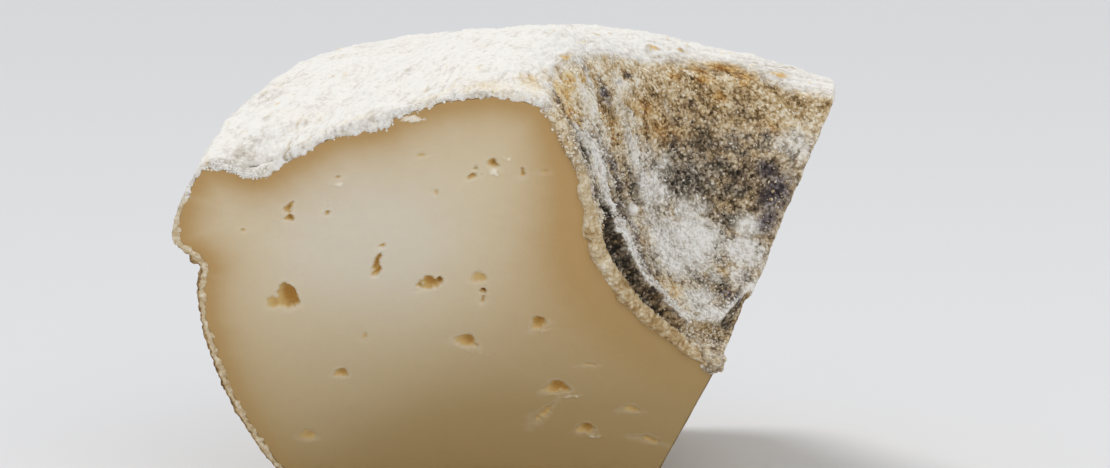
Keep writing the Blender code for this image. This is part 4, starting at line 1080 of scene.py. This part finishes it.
# The paste: one solid inside the rind. Its rows run from the middle of the wheel out to the band, and one
# row is a loop: over the top to the first cut, down that face, back underneath, and up the second face.
paste = {
    "coreShare": 0.7,                    # how deep in the rind the paste begins
    "rowStep": 0.25, "firstColumns": 230, "secondColumns": 44, "coreColumns": 9,
    "startRadius": 0.12, "pairRadius": 77.5, "bandRows": 14,
    "eyeTurn": 28.6,                     # degrees, how the eyes' own axes lie on the face
    # eyes of the first face: radius, height, width, length, turn, depth, softness of the rim
    "eyes": [(60.0, -7.6, 2.6, 4.4, 4, 1.3, 0.1), (61.2, -9.6, 2.2, 1.9, 20, 0.5, 0.5),
             (51.6, 3.2, 0.9, 2.9, -20, 0.9, 0.1), (50.9, 1.9, 0.8, 1.6, -35, 0.8, 0.1),
             (52.2, 6.0, 1.0, 0.8, -20, 0.5, 0.1), (43.7, 3.6, 2.0, 2.1, 20, 0.9, 0.2),
             (44.6, 2.6, 0.9, 1.8, -10, 0.7, 0.15), (42.6, 4.6, 1.0, 1.0, 0, 1.2, 0.05),
             (47.4, -15.9, 1.9, 1.4, 0, 0.7, 0.05), (38.2, 7.7, 2.1, 1.7, 10, 0.35, 0.2),
             (36.5, 6.0, 0.7, 0.7, 0, 1.0, 0.05), (35.9, 5.0, 0.5, 1.1, -25, 0.6, 0.1),
             (27.2, 4.9, 2.2, 2.0, 30, 0.9, 0.1), (34.6, -2.5, 2.8, 1.9, -15, 0.8, 0.15),
             (19.6, -3.6, 3.0, 2.0, 8, 0.9, 0.15), (18.9, -8.3, 1.0, 4.2, -42, 0.45, 0.3),
             (12.4, -8.0, 2.2, 1.8, 0, 0.8, 0.15), (8.5, -2.0, 1.8, 1.0, 0, 0.5, 0.2),
             (3.7, -5.4, 2.8, 1.0, -15, 0.5, 0.2), (17.6, 2.0, 1.0, 0.5, 0, 0.5, 0.1),
             (46.8, -28.0, 2.2, 1.7, 0, 0.45, 0.4), (66.2, 5.7, 0.9, 1.7, -35, 0.8, 0.1),
             (65.4, 4.0, 1.0, 0.9, -20, 0.8, 0.1), (61.1, 7.3, 0.8, 0.9, 0, 0.7, 0.1),
             (61.6, 8.2, 0.3, 0.9, 10, 0.5, 0.1), (62.4, 13.2, 1.5, 0.6, 15, 0.6, 0.1),
             (70.1, -0.7, 1.2, 0.6, 10, 0.4, 0.2), (46.7, 22.0, 1.7, 0.9, 30, 0.9, 0.05),
             (46.9, 23.3, 0.6, 0.6, 0, 0.6, 0.1), (45.2, 25.1, 1.6, 1.1, -25, 0.9, 0.1),
             (40.9, 25.7, 0.7, 1.0, 0, 0.9, 0.05), (38.6, 27.2, 0.8, 0.5, 0, 0.4, 0.1),
             (49.8, 17.4, 1.0, 0.9, -30, 0.3, 0.3), (54.3, 21.6, 1.1, 0.6, 10, 0.3, 0.3),
             (47.4, -8.5, 0.5, 1.1, 0, 0.25, 0.3)],
    # torn bits that stand a little proud of the face: the same measures, with height for depth
    "flakes": [(62.0, 12.2, 1.8, 0.5, 10, 0.3, 0.2), (44.6, 24.0, 1.3, 0.8, -30, 0.35, 0.1),
               (44.1, 26.6, 1.6, 0.5, -20, 0.3, 0.1), (33.0, -3.8, 2.6, 0.5, -12, 0.2, 0.2),
               (26.0, 3.6, 1.9, 0.5, 30, 0.2, 0.2), (42.9, 5.2, 1.6, 0.45, -25, 0.25, 0.1),
               (58.4, 26.0, 2.9, 1.0, 5, 0.55, 0.1), (62.2, 22.9, 2.2, 1.1, -12, 0.5, 0.1),
               (17.6, -4.6, 2.6, 0.5, 12, 0.2, 0.2), (51.7, 22.6, 0.7, 0.4, 20, 0.2, 0.1),
               (56.0, 24.6, 0.6, 0.5, 0, 0.2, 0.1), (11.2, -9.0, 2.0, 0.45, 5, 0.2, 0.2)],
    "unevenness": 0.12, "secondEyes": 16, "secondSeed": 7, "secondSpacing": 7.0,
    "seamReach": 50.0, "footShadeReach": 38.0,      # millimetres within which the paste turns tan towards the seam, and darker olive towards the floor as painted shade with partly browner paste
    "sheenPlace": (55.0, 6.0, 15.0),            # radius, height and reach of the pale patch that is painted sheen
}


def coreDepth(s, t):
    # how far under the smooth rind the paste begins, from the slabs' thickness at both cuts
    first = alongSection(rind["firstEdge"], s, rind["firstSeed"])[0]
    second = alongSection(rind["secondEdge"], s, rind["secondSeed"])[0]
    return paste["coreShare"] * (first + (second - first) * t) + innerThickness(s, t)


def corePoints(s, t):
    # the smooth rind sunk along its normals, which lie in the cut where a point is on one
    normals = wheelNormal(s, t)
    for edge, inward in ((0.0, firstInward), (1.0, secondInward)):
        flat = unit(normals - (normals @ inward)[..., None] * inward)
        normals = np.where((t == edge)[..., None], flat, normals)
    return wheelSurface(s, t)[0] - normals * coreDepth(s, t)[..., None], normals


def pairedSections():
    # section lengths of the rows on the upper and on the lower side, paired by radius as far as the
    # band and then closing in on its middle
    middle = 0.5 * (shoulderEnd + bandEnd)
    radii = np.arange(paste["startRadius"], paste["pairRadius"], paste["rowStep"])
    top, low = sectionLength < middle, sectionLength > middle
    upperS = np.interp(radii, np.maximum.accumulate(sectionCurve[top, 0]), sectionLength[top])
    lowerS = np.interp(radii, np.maximum.accumulate(sectionCurve[low, 0][::-1]), sectionLength[low][::-1])
    closing = np.linspace(0, 0.85, paste["bandRows"] + 1)[1:]
    upperS = np.concatenate([upperS, upperS[-1] + (middle - upperS[-1]) * closing])
    lowerS = np.concatenate([lowerS, lowerS[-1] + (middle - lowerS[-1]) * closing])
    return upperS, lowerS


def ovals(r, z, marks, rough):
    # The depth or height of all oval marks together, their shade, and how near a place is to the rim of the
    # nearest, from a noisy distance to the middle. Each narrows upwards and is deeper towards the seam.
    total, shade, rim = np.zeros_like(r), np.zeros_like(r), np.zeros_like(r)
    for radius, height, width, length, turn, deep, soft in marks:
        angle = math.radians(paste["eyeTurn"] + turn)
        a = (-math.cos(angle) * (r - radius) + math.sin(angle) * (z - height)) / (0.5 * width)
        b = (math.sin(angle) * (r - radius) + math.cos(angle) * (z - height)) / (0.5 * length)
        small = 0.5 * min(width, length)
        away = (np.hypot(a * (1 + 0.4 * np.clip(b, -1, 1)), b) - 1 + rough / small) * small
        tilt = 0.35 + 0.65 * smoothStep(0.55 + 0.5 * a)
        inside = smoothStep(0.5 - away / (soft + 0.2)) * (0.75 + 0.25 * smoothStep(-away / small))
        total = np.maximum(total, deep * inside * tilt)
        shade = np.maximum(shade, inside * min(1, 0.3 + 0.7 * deep) * (0.4 + 0.6 * tilt))
        rim = np.maximum(rim, bump((away - 0.15) / 0.3) * min(1, deep / 0.6))
    return total, shade, rim


def secondFaceEyes():
    # eyes of the second face, scattered like those of the first by a seeded draw
    draw = np.random.default_rng(paste["secondSeed"])
    eyes = []
    while len(eyes) < paste["secondEyes"]:
        radius, height = draw.uniform(5, 72), draw.uniform(-28, 28)
        inside = abs(height) < min(0.62 * radius, 0.8 * (82 - radius))
        apart = all(math.hypot(radius - r, height - z) > paste["secondSpacing"] for r, z, *_ in eyes)
        if inside and apart:
            width = draw.uniform(1.0, 2.8)
            length, turn = width * draw.uniform(0.7, 1.5), draw.uniform(-40, 40)
            eyes.append((radius, height, width, length, turn, 0.35 * (width + length) / 2, 0.3))
    return eyes


def cutFace(upper, lower, columns, outward, marks, flakes):
    # One cut face: straight lines from the upper to the lower outline, with eyes sunk and flakes raised.
    # Also its fields: distance from the outline, shade, rims, flakes, radius and height.
    v = np.linspace(0, 1, columns)[None, :, None]
    points = upper[:, None] * (1 - v) + lower[:, None] * v
    along = np.cross([0, 0, 1], outward)
    r, z = np.abs(points @ along), points[..., 2]
    rough = 0.42 * layeredNoise(points, 1.5, 3, 4) + 0.2 * gradientNoise(points, 0.55, 8)
    depth, shade, rim = ovals(r, z, marks, rough)
    raised = ovals(r, z, flakes, 1.2 * rough)[0]
    near = np.full(r.shape, 99.0)
    for line in (upper, lower):
        for knot in line[::2]:
            near = np.minimum(near, np.hypot(r - abs(knot @ along), z - knot[2]))
    height = layeredNoise(points, 7.0, 3, 13) + 0.25 * layeredNoise(points, 1.2, 3, 17)
    height = paste["unevenness"] * height * smoothStep(near / 2) + 0.5 * raised
    height = height - depth + 0.35 * depth * layeredNoise(points, 0.8, 2, 19)
    height = height * rising(near, 0.2, 0.8)
    return points + height[..., None] * outward, (near, shade, rim * (depth < 0.25), raised, r, z)


def pastePiece(material):
    # The core's upper side, the first cut face, the core's lower side and the second cut face, side by side
    # in one grid, with fields for what lies near the rind, in an eye, on a flake or low down, where the paste
    # takes painted shade, and for a pale patch of painted sheen.
    upperS, lowerS = pairedSections()
    rows, core = len(upperS), paste["coreColumns"]
    t = np.linspace(1, 0, core)[None] + np.zeros((rows, 1))
    upper, upperNormals = corePoints(upperS[:, None] + 0 * t, t)
    lower, lowerNormals = corePoints(lowerS[:, None] + 0 * t, t[:, ::-1])
    first, firstFields = cutFace(upper[:, -1], lower[:, 0], paste["firstColumns"], -firstInward,
                                 paste["eyes"], paste["flakes"])
    second, secondFields = cutFace(lower[:, -1], upper[:, 0], paste["secondColumns"], -secondInward,
                                   secondFaceEyes(), [])
    first, second = first[:, 1:-1], second[:, 1:-1]
    points = np.hstack([upper, first, lower, second])
    normals = gridNormals(points, np.hstack([upperNormals, first * 0, lowerNormals, second * 0]))
    side = np.zeros((rows, core))
    near, shade, rim, raised, radii, heights = (np.hstack([side, a[:, 1:-1], side, b[:, 1:-1]])
                                                for a, b in zip(firstFields, secondFields))
    faces = slabFaces(*points.shape[:2])
    piece = addMesh("paste", points, faces, material, normals, flat=(len(faces) - 2, len(faces) - 1))
    towardSeam = falling(radii, paste["seamReach"], 26)
    aged = 0.8 * np.exp(-near / (2.8 + 3.5 * towardSeam)) + 0.42 * np.exp(-near / (8 + 4 * towardSeam))
    at, up, reach = paste["sheenPlace"]
    # the pale patch on the face is painted sheen
    pale = bump(np.hypot(radii - at, heights - up) / reach)
    aboveFloor = placed(points)[..., 2] / mm
    # painted shade low down, where little light comes up from below, with partly browner paste
    foot = smoothStep(1 - aboveFloor / paste["footShadeReach"]) * (0.9 + 0.45 * towardSeam)
    addFields(piece, (aged + 0.26 * towardSeam, shade, rim, raised * 2), (foot, np.exp(-near / 0.7), pale))
    ofWedge(piece)


pasteFinish = {
    "roughness": 0.6, "specular": 0.3, "reliefHeight": 0.06, "reliefStrength": 0.5,
    "glow": 0.2, "glowReach": (0.003, 0.002, 0.001), "glowScale": 0.5,    # light that goes in
    # grains: millimetres across, detail, roughness, and what they are drawn out by
    "broad": (12.0, 2.0, 0.5), "medium": (2.2, 4.0, 0.6), "fine": (0.5, 4.0, 0.65), "tiny": (0.25, 2.0, 0.6),
    "streaks": (1.6, 3.0, 0.6, (1.0, 1.0, 0.12)),
    # linear colours; pale also colours the painted sheen, and olive is painted shade towards the foot
    "pale": (0.725, 0.655, 0.53), "cream": (0.70, 0.59, 0.40), "tan": (0.50, 0.315, 0.12),
    "brown": (0.42, 0.22, 0.06), "shadeOlive": (0.42, 0.295, 0.13), "eye": (0.62, 0.43, 0.17),
    "deepEye": (0.42, 0.20, 0.025), "torn": (0.84, 0.77, 0.64),
}


def pasteMaterial():
    # Cream with a pale patch of painted sheen in the middle, warmer and darker towards the rind and the seam,
    # darker olive towards the foot as painted shade with partly browner paste, golden in the eyes, pale on
    # torn bits, with the faint streaks that a blade leaves. Each layer lies over those before.
    f = pasteFinish
    material, tree, shader = newMaterial("paste", f["roughness"], f["specular"])
    aged, eye, rim, raised = fields(tree, "growth")
    foot, brink, pale = fields(tree, "form")[:3]
    medium, streaks = grain(tree, *f["medium"]), grain(tree, *f["streaks"])
    colour = f["cream"]
    for share, amount, over in (
            # the pale patch is painted sheen
            (broken(tree, pale, grain(tree, *f["broad"]), 0.0, 1.0, 0.3), 1.0, "pale"),
            (ramp(tree, medium, 0.45, 0.75), 0.12, "cream"), (ramp(tree, streaks, 0.5, 0.75), 0.12, "pale"),
            # the olive towards the foot is painted shade, with partly browner paste
            (broken(tree, aged, medium, 0.0, 1.0, 0.12), 0.95, "tan"), (foot, 0.85, "shadeOlive"),
            (brink, 0.35, "brown"), (ramp(tree, eye, 0.08, 0.5), 1.0, "eye"),
            (ramp(tree, eye, 0.4, 0.85), 0.9, "deepEye"), (rim, 0.12, "torn"),
            (ramp(tree, raised, 0.1, 0.6), 1.0, "torn")):
        colour = mixed(tree, times(tree, share, amount), colour, f[over])
    feed(tree, colour, shader.inputs["Base Color"])
    shader.inputs["Subsurface Weight"].default_value = f["glow"]
    shader.inputs["Subsurface Radius"].default_value = f["glowReach"]
    shader.inputs["Subsurface Scale"].default_value = f["glowScale"]
    height = plus(tree, times(tree, grain(tree, *f["fine"]), 0.5), grain(tree, *f["tiny"]))
    setBump(tree, shader, height, f["reliefHeight"], f["reliefStrength"])
    return material


pastePiece(pasteMaterial())

# The blocky knob of dried rind at the crater's tip.
knob = {"radius": 2.5, "angle": 24.0, "height": 10.5, "size": (2.0, 1.6, 1.45), "power": 3.6, "rows": 60,
        "columns": 90, "lump": 0.6, "crumb": 0.35, "tone": 0.64, "warm": 0.45, "edge": 0.4, "calm": 0.3}


def lump(name, material, centre, outward, k):
    # a rounded box: every direction's reach is that of a sphere whose exponent is above two
    up = np.linspace(-np.pi / 2, np.pi / 2, k["rows"] + 2)[1:-1, None]
    around = np.linspace(0, 2 * np.pi, k["columns"], endpoint=False)[None]
    rays = np.stack([np.cos(up) * np.cos(around), np.cos(up) * np.sin(around), np.sin(up) + 0 * around], -1)
    reach = (np.abs(rays) ** k["power"]).sum(-1) ** (-1 / k["power"])
    points = rays * reach[..., None] * k["size"]
    aside = np.cross([0, 0, 1], outward)
    points = points[..., :1] * outward + points[..., 1:2] * aside + points[..., 2:] * np.array([0, 0, 1])
    guide = unit(points)
    points = points + centre
    rough = k["lump"] * layeredNoise(points, 1.6, 2, 3) + k["crumb"] * layeredNoise(points, 0.6, 2, 5)
    points = points + guide * rough[..., None]
    piece = addMesh(name, points, slabFaces(k["rows"], k["columns"]), material)
    zero = np.zeros(points.shape[:2])
    tone = k["tone"] + 0.3 * layeredNoise(points, 1.5, 2, 8)
    addFields(piece, (tone / toneRange, k["warm"] + zero), (zero, k["edge"] + zero, k["calm"] + zero))
    ofWedge(piece)


def wayOut(angle):
    # level direction from the axis, at this many degrees from the first cut
    return direction(np.array(firstAzimuth - math.radians(angle)))


def noduleCentre():
    # the crater's finished point nearest the nodule's place, and a lift along its normal
    s = sectionLength[int(np.argmax(sectionCurve[:, 0] > nodule["radius"]))]
    t = nodule["angle"] / wheel["wedgeAngle"]
    target = wheelSurface(np.array([[s]]), np.array([[t]]))[0][0, 0]
    heart = surfaces["craterHeart"]
    gap = np.linalg.norm(heart["points"] - target, axis=-1) + 99 * (heart["outer"] < 0.9)
    nearest = np.unravel_index(np.argmin(gap), gap.shape)
    return heart["points"][nearest] + nodule["lift"] * heart["normals"][nearest]


knobWay = wayOut(knob["angle"])
lump("tipKnob", rindFinish, knob["radius"] * knobWay + np.array([0, 0, knob["height"]]), knobWay, knob)
lump("nodule", rindFinish, noduleCentre(), wayOut(nodule["angle"]), nodule)

# Loose crumbs on the crater and along the first cut's upper edge.
debris = {
    "seed": 12, "uneven": 0.22, "stretch": (0.6, 1.25), "sunk": 0.2, "paler": (0.05, 0.45), "calm": 0.6,
    # pieces that they lie on, number, least and greatest radius, the field that is above a value where they
    # lie, and the section lengths between which they lie
    "inCrater": (("craterHeart", "craterRind"), 4200, (0.1, 0.27), "outer", 0.99, (0.0, sectionEnd)),
    "onEdge": (("craterRind", "shoulderRind", "waistRind"), 240, (0.1, 0.24), "bulging", 0.6, (40.0, 102.0)),
}


def blob():
    # corners of a twenty-sided solid, from the golden ratio, and its faces: three corners a side apart
    golden = 0.5 * (1 + math.sqrt(5))
    corners = unit(np.array([(a, b * golden, 0) for a in (-1, 1) for b in (-1, 1)], float))
    corners = np.vstack([np.roll(corners, k, axis=1) for k in range(3)])
    gap = np.linalg.norm(corners[:, None] - corners[None], axis=-1)
    side = gap[gap > 0.1].min() * 1.01
    faces = [c for c in itertools.combinations(range(len(corners)), 3)
             if all(gap[a, b] < side for a, b in itertools.combinations(c, 2))]
    return corners, [c if np.linalg.det(corners[list(c)]) > 0 else c[::-1] for c in faces]


def strewn(draw):
    # centre, radius, tone and warmth of every crumb: drawn from the finished points that fit, a little sunk
    d = debris
    found = []
    for names, count, (least, most), field, above, (low, high) in (d["inCrater"], d["onEdge"]):
        for name in names:
            on = surfaces[name]
            fits = (on[field] > above) & (on["s"] > low) & (on["s"] < high)
            places = draw.choice(np.flatnonzero(fits.reshape(-1)), count // len(names), replace=False)
            big = least + (most - least) * draw.uniform(size=len(places)) ** 2.5
            at, outward, tone, warm = (on[key].reshape(-1, *on[key].shape[2:])[places]
                                       for key in ("points", "normals", "tone", "warm"))
            tone = np.clip(tone + draw.uniform(*d["paler"], size=len(places)), 0, 1)
            found.append((at + outward * (1 - d["sunk"]) * big[:, None], big, tone, warm))
    return [np.concatenate(values) for values in zip(*found)]


def looseCrumbs(material):
    # twenty-sided blobs, stretched, turned and dented by one seeded draw, all in one mesh
    d = debris
    draw = np.random.default_rng(d["seed"])
    corners, faces = blob()
    centres, sizes, tones, warmths = strewn(draw)
    count, each = len(sizes), len(corners)
    turns = np.linalg.qr(draw.normal(size=(count, 3, 3)))[0]
    turns[:, :, 0] *= np.sign(np.linalg.det(turns))[:, None]
    shape = corners[None] * (1 + d["uneven"] * draw.normal(size=(count, each, 1)))
    shape = shape * draw.uniform(*d["stretch"], size=(count, 1, 3))
    points = centres[:, None] + sizes[:, None, None] * np.einsum("nij,nkj->nki", turns, shape)
    every = (np.arange(count)[:, None, None] * each + np.array(faces)[None]).reshape(-1, 3)
    piece = addMesh("crumbs", points, every.tolist(), material)
    tone, warm = np.repeat(tones, each), np.repeat(warmths, each)
    addFields(piece, (tone / toneRange, warm), (0 * tone, 0 * tone, d["calm"] + 0 * tone))
    ofWedge(piece)


looseCrumbs(rindFinish)

# Stage, light and camera.
stage = {"floorRadius": 4.0, "fillet": 0.8, "floorSteps": 30, "filletSteps": 24, "around": 128,
         "colour": (0.76, 0.768, 0.785), "roughness": 0.9, "specular": 0.1}


def stageBowl():
    # a round floor that turns up at its edge, as one profile turned about the vertical
    s = stage
    arc = np.linspace(0, np.pi / 2, s["filletSteps"])[1:]
    level = np.linspace(0.02, s["floorRadius"], s["floorSteps"])
    out = np.concatenate([level, s["floorRadius"] + s["fillet"] * np.sin(arc)])
    up = np.concatenate([0 * level, s["fillet"] * (1 - np.cos(arc))])
    around = np.linspace(0, 2 * np.pi, s["around"], endpoint=False)
    out, up = out[:, None], up[:, None]
    points = np.stack([out * np.cos(around), out * np.sin(around), up + 0 * around], -1)
    mesh = bpy.data.meshes.new("floor")
    faces = slabQuads(*points.shape[:2]) + [list(range(s["around"]))]
    mesh.from_pydata(points.reshape(-1, 3).tolist(), [], faces)
    mesh.polygons.foreach_set("use_smooth", np.ones(len(mesh.polygons), bool))
    material, tree, shader = newMaterial("floor", s["roughness"], s["specular"])
    feed(tree, s["colour"], shader.inputs["Base Color"])
    mesh.materials.append(material)
    floor = bpy.data.objects.new("floor", mesh)
    bpy.context.scene.collection.objects.link(floor)


lights = {
    "sun": {"from": (-0.22, 0.33, 0.92), "strength": 1.36, "angle": 22.0, "colour": (1.0, 0.985, 0.96)},
    # areas: place, aim, size, power, colour
    "front": ((0.5, -1.2, 0.9), (0, 0, 0.03), 1.0, 5.0, (1.0, 0.99, 0.97)),
    "fill": ((-0.45, -1.1, 0.35), (0, 0, 0.03), 0.8, 1.2, (1.0, 0.98, 0.95)),
    "sky": (0.965, 0.975, 1.0), "skyStrength": 0.52,
}


def addLamp(name, kind, place, aim, strength, colour):
    # a lamp that looks from its place to its aim
    light = bpy.data.lights.new(name, kind)
    light.energy, light.color = strength, colour
    lamp = bpy.data.objects.new(name, light)
    lamp.location = place
    lamp.rotation_euler = (Vector(aim) - Vector(place)).to_track_quat("-Z", "Y").to_euler()
    bpy.context.scene.collection.objects.link(lamp)
    return light, lamp


def addLights():
    # two soft areas that the camera doesn't see, a wide sun and an even sky
    for name in ("front", "fill"):
        place, aim, size, strength, colour = lights[name]
        light, lamp = addLamp(name, "AREA", place, aim, strength, colour)
        light.size = size
        lamp.visible_camera = False
    s = lights["sun"]
    sun = addLamp("sun", "SUN", s["from"], (0, 0, 0), s["strength"], s["colour"])[0]
    sun.angle = math.radians(s["angle"])
    world = bpy.data.worlds.new("sky")
    world.use_nodes = True
    background = world.node_tree.nodes["Background"]
    background.inputs["Color"].default_value = (*lights["sky"], 1)
    background.inputs["Strength"].default_value = lights["skyStrength"]
    bpy.context.scene.world = world


camera = {"place": (0.00651279, -0.47594142, 0.07825276), "turn": (84.81739, -0.07378, 0.15523),
          "lens": 103.784, "sensor": 36.0}


def addCamera():
    # the photo's own view: place in metres, turn in degrees and focal length
    lens = bpy.data.cameras.new("camera")
    lens.lens, lens.sensor_width, lens.clip_start = camera["lens"], camera["sensor"], 0.01
    view = bpy.data.objects.new("camera", lens)
    view.location = camera["place"]
    view.rotation_euler = [math.radians(a) for a in camera["turn"]]
    bpy.context.scene.collection.objects.link(view)
    bpy.context.scene.camera = view


stageBowl()
addLights()
addCamera()
bpy.context.scene.view_settings.view_transform = "Standard"
print("stage, lights and camera set")
